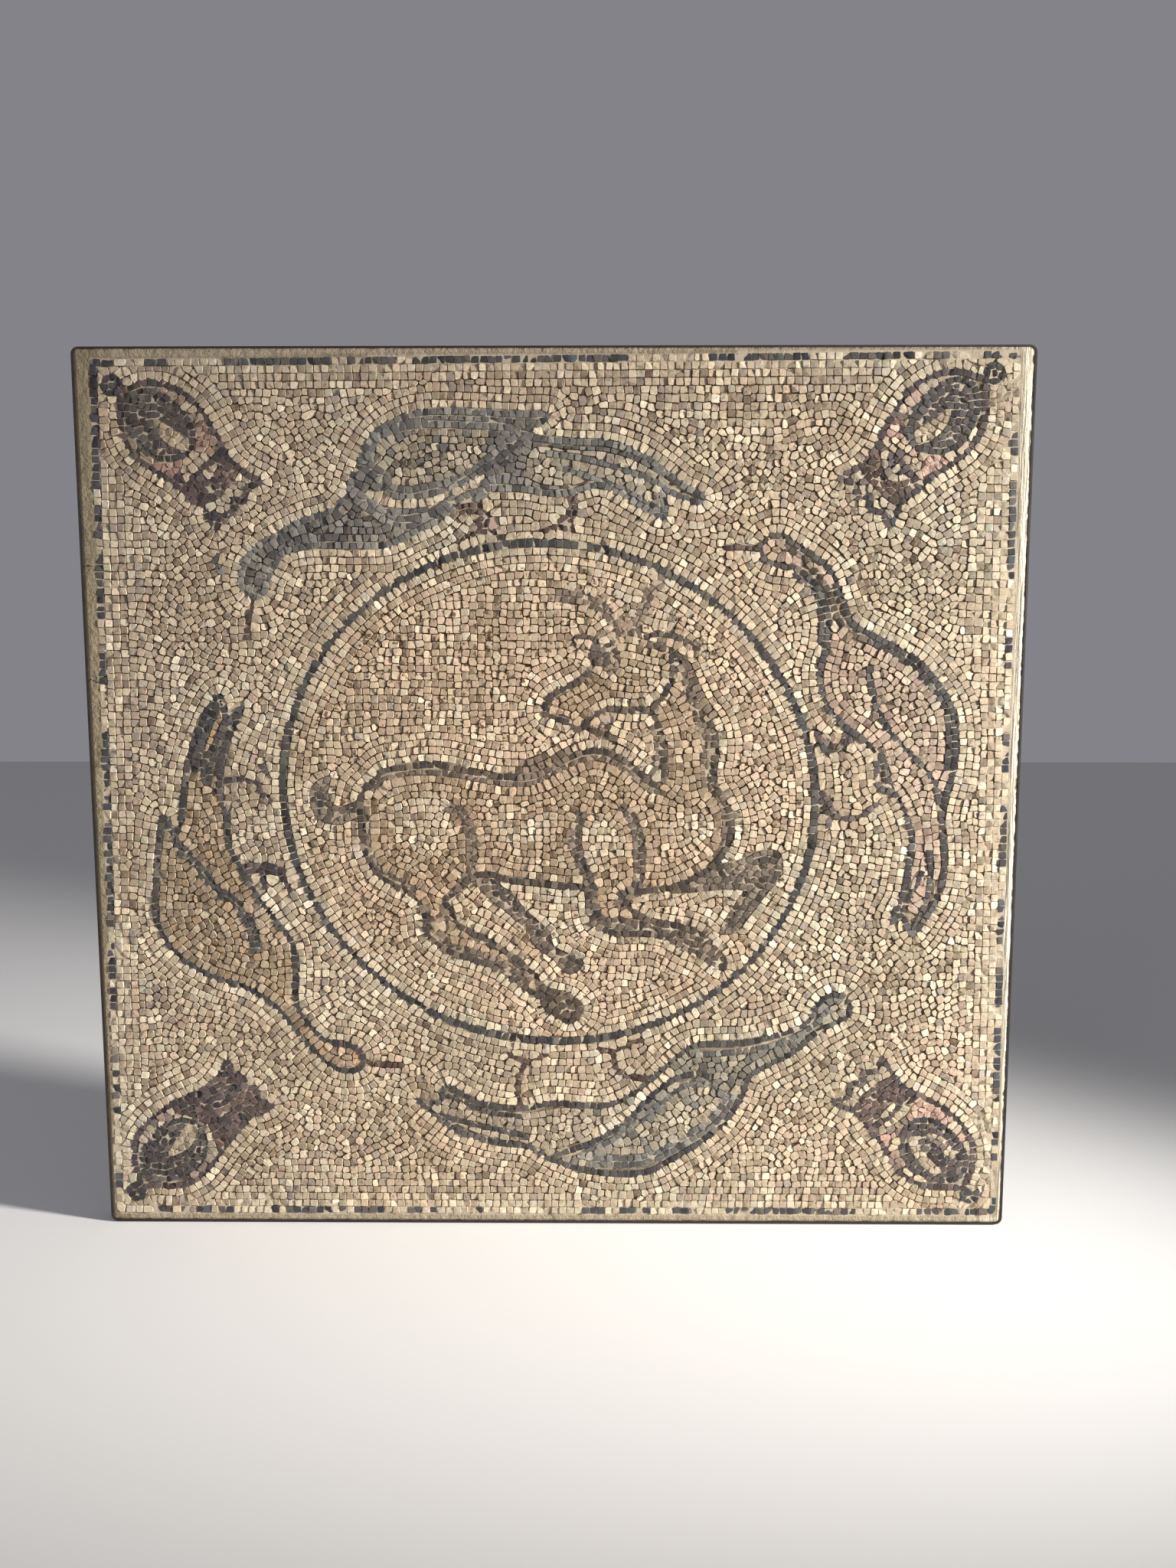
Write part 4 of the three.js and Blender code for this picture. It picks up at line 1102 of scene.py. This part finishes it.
# Adds a node. Each socket is given another node's output or a plain value
def addNode(tree, kind, sockets=None, **settings):
    node = tree.nodes.new(kind)
    for key, value in settings.items():
        setattr(node, key, value)
    for socket, value in (sockets or {}).items():
        if isinstance(value, bpy.types.NodeSocket):
            tree.links.new(value, node.inputs[socket])
        else:
            node.inputs[socket].default_value = value
    return node


def noise(tree, place, scale, detail, roughness=0.5):
    sockets = {"Vector": place, "Scale": scale, "Detail": detail, "Roughness": roughness}
    return addNode(tree, "ShaderNodeTexNoise", sockets).outputs["Fac"]


# Brings a value from one range to another, and holds it there
def rescale(tree, value, low, high, newLow=0.0, newHigh=1.0):
    sockets = {"Value": value, "From Min": low, "From Max": high, "To Min": newLow, "To Max": newHigh}
    return addNode(tree, "ShaderNodeMapRange", sockets).outputs[0]


def maths(tree, operation, one, other=0.0):
    return addNode(tree, "ShaderNodeMath", {0: one, 1: other}, operation=operation).outputs[0]


# Two colours, by share of the second
def blend(tree, share, one, other):
    return addNode(tree, "ShaderNodeMix", {0: share, 6: one, 7: other}, data_type="RGBA").outputs[2]


# A colour made lighter or darker
def scaled(tree, colour, amount):
    return addNode(tree, "ShaderNodeVectorMath", {0: colour, "Scale": amount}, operation="SCALE").outputs[0]


def bumped(tree, height, strength, distance, under=None):
    sockets = {"Height": height, "Strength": strength, "Distance": distance}
    if under is not None:
        sockets["Normal"] = under
    return addNode(tree, "ShaderNodeBump", sockets).outputs[0]


def tint(hexColour):
    return (*linear(hexColour), 1)


def newMaterial(name):
    material = bpy.data.materials.new(name)
    material.use_nodes = True
    return material, material.node_tree, material.node_tree.nodes["Principled BSDF"]


wear = {
    "mottle": 210, "grain": 900, "stain": 7, "specks": 95,  # noise scales per metre
    "edgeDust": 0.55, "relief": 0.0012, "speckTone": "#5c4230",
}


# Mottled, dusty old stone: a colour in, a colour, a roughness and a normal out
def wornStoneGroup():
    tree, into, out = newGroupTree("wornStone", [
        ("Stone", "NodeSocketColor", (0.5, 0.4, 0.3, 1)), ("Edge", "NodeSocketFloat", 0.0),
        ("Dust", "NodeSocketColor", (0.55, 0.46, 0.34, 1)), ("Dust amount", "NodeSocketFloat", 0.3),
        ("Mottle", "NodeSocketFloat", 0.3), ("Bump", "NodeSocketFloat", 0.3),
        ("Specks", "NodeSocketFloat", 0.3)],
        [("Colour", "NodeSocketColor"), ("Roughness", "NodeSocketFloat"), ("Normal", "NodeSocketVector")])
    place = addNode(tree, "ShaderNodeTexCoord").outputs["Object"]
    mottle = noise(tree, place, wear["mottle"], 4, 0.65)
    grain = noise(tree, place, wear["grain"], 3, 0.6)
    stain = noise(tree, place, wear["stain"], 5, 0.6)
    spot = noise(tree, place, wear["specks"], 3, 0.6)
    swing = maths(tree, "MULTIPLY", rescale(tree, mottle, 0.3, 0.7, -1, 1), into.outputs["Mottle"])
    shaded = scaled(tree, into.outputs["Stone"], maths(tree, "ADD", swing, 1.0))
    edgeDust = maths(tree, "MULTIPLY", into.outputs["Edge"], wear["edgeDust"])
    lying = maths(tree, "MAXIMUM", edgeDust, rescale(tree, stain, 0.42, 0.72))
    dusty = maths(tree, "MULTIPLY", lying, into.outputs["Dust amount"])
    colour = blend(tree, dusty, shaded, into.outputs["Dust"])
    speck = maths(tree, "MULTIPLY", rescale(tree, spot, 0.615, 0.64), into.outputs["Specks"])
    specked = blend(tree, speck, colour, tint(wear["speckTone"]))
    rough = rescale(tree, mottle, 0, 1, 0.62, 0.92)
    bump = bumped(tree, maths(tree, "ADD", mottle, grain), into.outputs["Bump"], wear["relief"])
    tree.links.new(specked, out.inputs["Colour"])
    tree.links.new(rough, out.inputs["Roughness"])
    tree.links.new(bump, out.inputs["Normal"])
    return tree


wornStone = wornStoneGroup()


def stoneMaterial(name, dust, dustAmount, mottle, bump, specks):
    material, tree, shader = newMaterial(name)
    shader.inputs["Specular IOR Level"].default_value = 0.15
    colour = addNode(tree, "ShaderNodeAttribute", attribute_name="stoneColour")
    edge = addNode(tree, "ShaderNodeAttribute", attribute_name="stoneEdge")
    group = addNode(tree, "ShaderNodeGroup", node_tree=wornStone)
    for socket, value in (("Dust", tint(dust)), ("Dust amount", dustAmount), ("Mottle", mottle),
                          ("Bump", bump), ("Specks", specks)):
        group.inputs[socket].default_value = value
    tree.links.new(colour.outputs["Color"], group.inputs["Stone"])
    tree.links.new(edge.outputs["Fac"], group.inputs["Edge"])
    tree.links.new(group.outputs["Colour"], shader.inputs["Base Color"])
    tree.links.new(group.outputs["Roughness"], shader.inputs["Roughness"])
    tree.links.new(group.outputs["Normal"], shader.inputs["Normal"])
    return material


lightStone = stoneMaterial("lightStone", "#846f55", 0.4, 0.17, 0.45, 0.45)
centreStone = stoneMaterial("centreStone", "#846b50", 0.4, 0.17, 0.45, 0.9)
darkStone = stoneMaterial("darkStone", "#8d8270", 0.22, 0.22, 0.4, 0)
figureStone = stoneMaterial("figureStone", "#85725a", 0.3, 0.2, 0.45, 0.5)


# The pieces: which node each replaces, its slot and its material
pieceNodes = {
    "outerGround": (["outer_ground"], "ground_stone", lightStone),
    "medallionGround": (["medallion_ground"], "ground_stone", centreStone),
    "ringStones": (["ring"], "dark_stone", darkStone),
    "borderStones": (["border_row"], "border_stone", darkStone),
}
for name, figure in [("antelope", antelope), *ducks.items()]:
    pieceNodes[name + "Outline"] = (figure["nodes"]["outline"], figure["slots"]["outline"], darkStone)
    pieceNodes[name + "Fill"] = (figure["nodes"]["fill"], figure["slots"]["fill"], figureStone)
for place, values in bud["places"].items():
    for part, slotName in [("Outline", "dark_stone"), ("Leaf", "purple_stone"), ("Flesh", "pink_stone"),
                           ("Mouth", "purple_stone")]:
        surface = figureStone if part == "Flesh" else darkStone
        pieceNodes[place + "Bud" + part] = ([values["node"] + "_" + part.lower()], slotName, surface)


# The stones of each piece. The outer ground is parted by quarters to keep the meshes small
def shareOut():
    parts = {}
    pieceOf = ofGroups("piece")[stones["group"]]
    for name in pieceNodes:
        own = np.nonzero((pieceOf == name) & good)[0]
        if name != "outerGround":
            parts[name] = own
            continue
        x, z = stones["x"][own], stones["z"][own]
        upright = np.abs(z) > np.abs(x)
        quarter = np.where(upright, np.where(z > 0, 0, 2), np.where(x > 0, 1, 3))
        for k, side in enumerate(["Top", "Right", "Bottom", "Left"]):
            parts[name + side] = own[quarter == k]
    return parts


print("cutting the stones")
pieces = buildPieces(shareOut())
for name, piece in pieces.items():
    key = "outerGround" if name.startswith("outerGround") else name
    nodes, slotName, surface = pieceNodes[key]
    piece.data.materials.append(surface)
    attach(piece, "root")
    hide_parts(*nodes)


# The mortar bed, with its bare margin
mortar = {
    "cell": 5.0, "block": 8,  # grid of the face in millimetres, and spots that are looked at together
    "deep": 3.6, "shallow": 2.6, "rough": 0.3, "marginRough": 0.9,  # depths below the edging's face
    "washWidth": 46, "washFade": 24, "washDepth": 0.85,  # pale wash round the edges
    "cracks": (0.364, 0.188),  # heights on the left margin, in metres
    # The dark joint colour stands partly for dirt in the joints and partly for painted shade in their depth
    "joint": "#5a4936", "paleJoint": "#b5a68f", "marginTones": ("#8e8270", "#b1a186"),
    # The left margin's tone is painted shade, and the right margin's tone is painted light
    "leftShadeTone": "#897d65", "rightLightTone": "#c8bda6", "crackTone": "#2c2621",
}


# A slab with a fine grid on its front, a metre square until its points are placed
def modelSlab(across, up):
    bpy.ops.mesh.primitive_grid_add(x_subdivisions=across, y_subdivisions=up, size=1)
    slab = bpy.context.object
    slab.name = "mortarBed"
    bpy.ops.object.mode_set(mode="EDIT")
    bpy.ops.mesh.select_mode(type="EDGE")
    bpy.ops.mesh.select_all(action="SELECT")
    bpy.ops.mesh.region_to_loop()
    bpy.ops.mesh.extrude_edges_move(TRANSFORM_OT_translate={"value": (0, 0, -1)})
    bpy.ops.mesh.edge_face_add()
    bpy.ops.object.mode_set(mode="OBJECT")
    return slab


# How far each place on the face is in dark stone, and how far in any stone
def stoneShares(line, column):
    block = mortar["block"]
    cut = spots[:spotsUp // block * block, :spotsAcross // block * block]
    shape = (cut.shape[0] // block, block, cut.shape[1] // block, block)
    dark = (ofGroups("joint") == layout["darkJoint"]).astype(np.float32)
    r = np.clip(line // block, 0, shape[0] - 1)
    c = np.clip(column // block, 0, shape[2] - 1)
    inDark = dark[cut].reshape(shape).mean(axis=(1, 3))
    inStone = (cut > 0).astype(np.float32).reshape(shape).mean(axis=(1, 3))
    return inDark[r, c], inStone[r, c]


# The bed, whose front is the mortar between and round the stones
def modelBed():
    width, height = bedHigh[0] - bedLow[0], bedHigh[2] - bedLow[2]
    bed = modelSlab(int(width / mm / mortar["cell"]), int(height / mm / mortar["cell"]))
    mesh = bed.data
    co = np.zeros(len(mesh.vertices) * 3, np.float32)
    mesh.vertices.foreach_get("co", co)
    co = co.reshape(-1, 3)
    front = co[:, 2] > -0.5
    x = (co[:, 0] + 0.5) * width + bedLow[0]
    z = (co[:, 1] + 0.5) * height + bedLow[2]
    line, column = spotOf(x / mm, z / mm)
    pale, under = stoneShares(line, column)  # joints between dark stones are paler and fuller
    hillShape = (spotsUp // 4, spotsAcross // 4)
    hills = noiseGrid(hillShape, 5, 3)[np.clip(line // 4, 0, hillShape[0] - 1),
                                       np.clip(column // 4, 0, hillShape[1] - 1)]
    # Round the edges the joints were washed over with pale mortar, most of all on the right
    edgeFar = np.minimum(np.minimum(x + halfWidth * mm, (halfWidth * mm - x) * 0.6),
                         np.minimum(z - bedLow[2], bedHigh[2] - z) * 1.2) / mm
    wash = np.clip((mortar["washWidth"] - edgeFar) / mortar["washFade"] + 0.7 * hills, 0, 1)
    pale = np.maximum(pale, wash)
    joint = mortar["deep"] + (mortar["shallow"] - mortar["deep"]) * pale + mortar["rough"] * hills
    joint = joint - mortar["washDepth"] * wash
    margin = 0.5 + mortar["marginRough"] * np.abs(hills) * 0.6
    stoned = under > 0.35
    deep = np.where(stoned, np.maximum(joint, 0.5), margin)
    y = np.where(front, faceY + deep * mm, bedHigh[1])
    mesh.vertices.foreach_set("co", np.column_stack([x, y, z]).astype(np.float32).ravel())
    mesh.update()
    bare = np.where(front, 1 - np.clip(under * 1.6, 0, 1), 1)
    for name, values in (("paleJoint", np.where(front & stoned, pale, 0)), ("bareMargin", bare)):
        shade = mesh.attributes.new(name, "FLOAT", "POINT")
        shade.data.foreach_set("value", values.astype(np.float32))
    bpy.ops.object.mode_set(mode="EDIT")
    bpy.ops.mesh.select_all(action="SELECT")
    bpy.ops.mesh.normals_make_consistent(inside=False)
    bpy.ops.object.mode_set(mode="OBJECT")
    bpy.ops.object.shade_smooth()
    bpy.ops.object.select_all(action="DESELECT")
    return bed


# Short cracks that run across the left margin at given heights
def cracksIn(tree, place, height):
    wander = rescale(tree, noise(tree, place, 60, 2), 0, 1, -0.008, 0.008)
    wandering = maths(tree, "ADD", wander, height)
    gaps = [maths(tree, "ABSOLUTE", maths(tree, "SUBTRACT", wandering, at)) for at in mortar["cracks"]]
    nearest = gaps[0]
    for gap in gaps[1:]:
        nearest = maths(tree, "MINIMUM", nearest, gap)
    return rescale(tree, nearest, 0.0012, 0.0005)


def mortarMaterial():
    material, tree, shader = newMaterial("sandyMortar")
    shader.inputs["Specular IOR Level"].default_value = 0.25
    shader.inputs["Roughness"].default_value = 0.92
    place = addNode(tree, "ShaderNodeTexCoord").outputs["Object"]
    pale = addNode(tree, "ShaderNodeAttribute", attribute_name="paleJoint").outputs["Fac"]
    bare = addNode(tree, "ShaderNodeAttribute", attribute_name="bareMargin").outputs["Fac"]
    sand = noise(tree, place, 420, 6, 0.7)
    cloud = noise(tree, place, 14, 5, 0.6)
    # Joints among the pale stones are dark brown, partly dirt and partly painted shade; among dark stones
    # they are pale
    joint = blend(tree, pale, tint(mortar["joint"]), tint(mortar["paleJoint"]))
    marginTone = blend(tree, cloud, *(tint(tone) for tone in mortar["marginTones"]))
    # The margin is painted greyer on the left, as painted shade, and paler on the right, as painted light,
    # both on the face only
    apart = addNode(tree, "ShaderNodeSeparateXYZ", {0: place})
    face = rescale(tree, apart.outputs["Y"], -0.030, -0.036)
    rightSide = rescale(tree, apart.outputs["X"], 0.66, 0.70)
    onLeft = maths(tree, "MULTIPLY", rescale(tree, apart.outputs["X"], -0.66, -0.70), face)
    lightOnRight = maths(tree, "MULTIPLY", rightSide, face)
    shadedLeft = blend(tree, onLeft, marginTone, tint(mortar["leftShadeTone"]))
    litRight = blend(tree, lightOnRight, shadedLeft, tint(mortar["rightLightTone"]))
    whole = blend(tree, bare, joint, litRight)
    cracked = maths(tree, "MULTIPLY", cracksIn(tree, place, apart.outputs["Z"]), onLeft)
    split = blend(tree, cracked, whole, tint(mortar["crackTone"]))
    colour = scaled(tree, split, rescale(tree, sand, 0.3, 0.7, 0.8, 1.18))
    # The margins were smoothed lengthwise with a trowel, which left ridges in the wide right one
    drawnOut = addNode(tree, "ShaderNodeMapping", {"Vector": place, "Scale": (150, 150, 9)})
    ridges = noise(tree, drawnOut.outputs[0], 1, 3)
    lumps = noise(tree, place, 85, 4, 0.6)
    relief = addNode(tree, "ShaderNodeMix", {0: rightSide, 2: lumps, 3: ridges}).outputs[0]
    ripple = bumped(tree, relief, bare, 0.007)
    tree.links.new(colour, shader.inputs["Base Color"])
    tree.links.new(bumped(tree, sand, 0.6, 0.002, ripple), shader.inputs["Normal"])
    return material


print("casting the bed")
bed = modelBed()
bed.data.materials.clear()
bed.data.materials.append(mortarMaterial())
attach(bed, "root")
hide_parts("mortar_bed")


# The edging strip keeps its CAD shape and gets a worn dark finish
def edgingMaterial():
    material, tree, shader = newMaterial("darkStrip")
    shader.inputs["Metallic"].default_value = 0.6
    place = addNode(tree, "ShaderNodeTexCoord").outputs["Object"]
    rust = noise(tree, place, 60, 6, 0.7)
    colour = blend(tree, rust, tint("#262527"), tint("#4a423b"))
    tree.links.new(colour, shader.inputs["Base Color"])
    tree.links.new(rescale(tree, rust, 0, 1, 0.4, 0.75), shader.inputs["Roughness"])
    tree.links.new(bumped(tree, rust, 0.25, 0.001), shader.inputs["Normal"])
    return material


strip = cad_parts["edge_band"]
strip.data.materials.clear()
strip.data.materials.append(edgingMaterial())


# Floor, light and camera
studio = {
    "key": 2900, "keySize": 0.5, "spread": 34, "keyPlace": (4.3, -1.35, 1.0), "keyAim": (0.16, 0, -0.12),
    "fill": 26, "fillSize": 2.6, "fillPlace": (-2.6, -3.4, 1.4),
    "sky": 0.26, "skyColour": (0.88, 0.88, 0.97, 1),
    "floorDrop": 0.0015, "floorSize": 16, "floorColour": (0.72, 0.71, 0.69, 1),
    "lens": 27.07, "sensor": 36, "eye": (0.068, -1.868, 0.235), "look": (-0.008, 0.994, -0.112),
}


def addFloor():
    level = bandLow[2] - studio["floorDrop"]
    bpy.ops.mesh.primitive_plane_add(size=studio["floorSize"], location=(0, 0, level))
    floor = bpy.context.object
    floor.name = "paleFloor"
    material, _, shader = newMaterial("paleFloor")
    shader.inputs["Base Color"].default_value = studio["floorColour"]
    shader.inputs["Roughness"].default_value = 0.8
    floor.data.materials.append(material)
    bpy.ops.object.select_all(action="DESELECT")


def addLight(name, kind, place, target, energy, colour):
    data = bpy.data.lights.new(name, kind)
    data.energy = energy
    data.color = colour
    lamp = bpy.data.objects.new(name, data)
    bpy.context.collection.objects.link(lamp)
    lamp.location = place
    lamp.rotation_euler = (Vector(target) - Vector(place)).to_track_quat("-Z", "Y").to_euler()
    return data


def lightPanel():
    key = addLight("key", "SPOT", studio["keyPlace"], studio["keyAim"], studio["key"], (1.0, 0.98, 0.95))
    key.shadow_soft_size = studio["keySize"] / 2
    key.spot_size = math.radians(studio["spread"])
    key.spot_blend = 1.0
    fill = addLight("fill", "AREA", studio["fillPlace"], (0, 0, 0), studio["fill"], (0.92, 0.94, 1.04))
    fill.size = studio["fillSize"]
    world = bpy.data.worlds.new("studio")
    world.use_nodes = True
    sky = world.node_tree.nodes["Background"]
    sky.inputs["Color"].default_value = studio["skyColour"]
    sky.inputs["Strength"].default_value = studio["sky"]
    bpy.context.scene.world = world


def addCamera():
    data = bpy.data.cameras.new("camera")
    data.lens = studio["lens"]
    data.sensor_width = studio["sensor"]
    camera = bpy.data.objects.new("camera", data)
    bpy.context.collection.objects.link(camera)
    camera.location = studio["eye"]
    camera.rotation_euler = Vector(studio["look"]).to_track_quat("-Z", "Y").to_euler()
    bpy.context.scene.camera = camera
    bpy.context.scene.view_settings.view_transform = "Standard"


print("placing the floor, light and camera")
addFloor()
lightPanel()
addCamera()
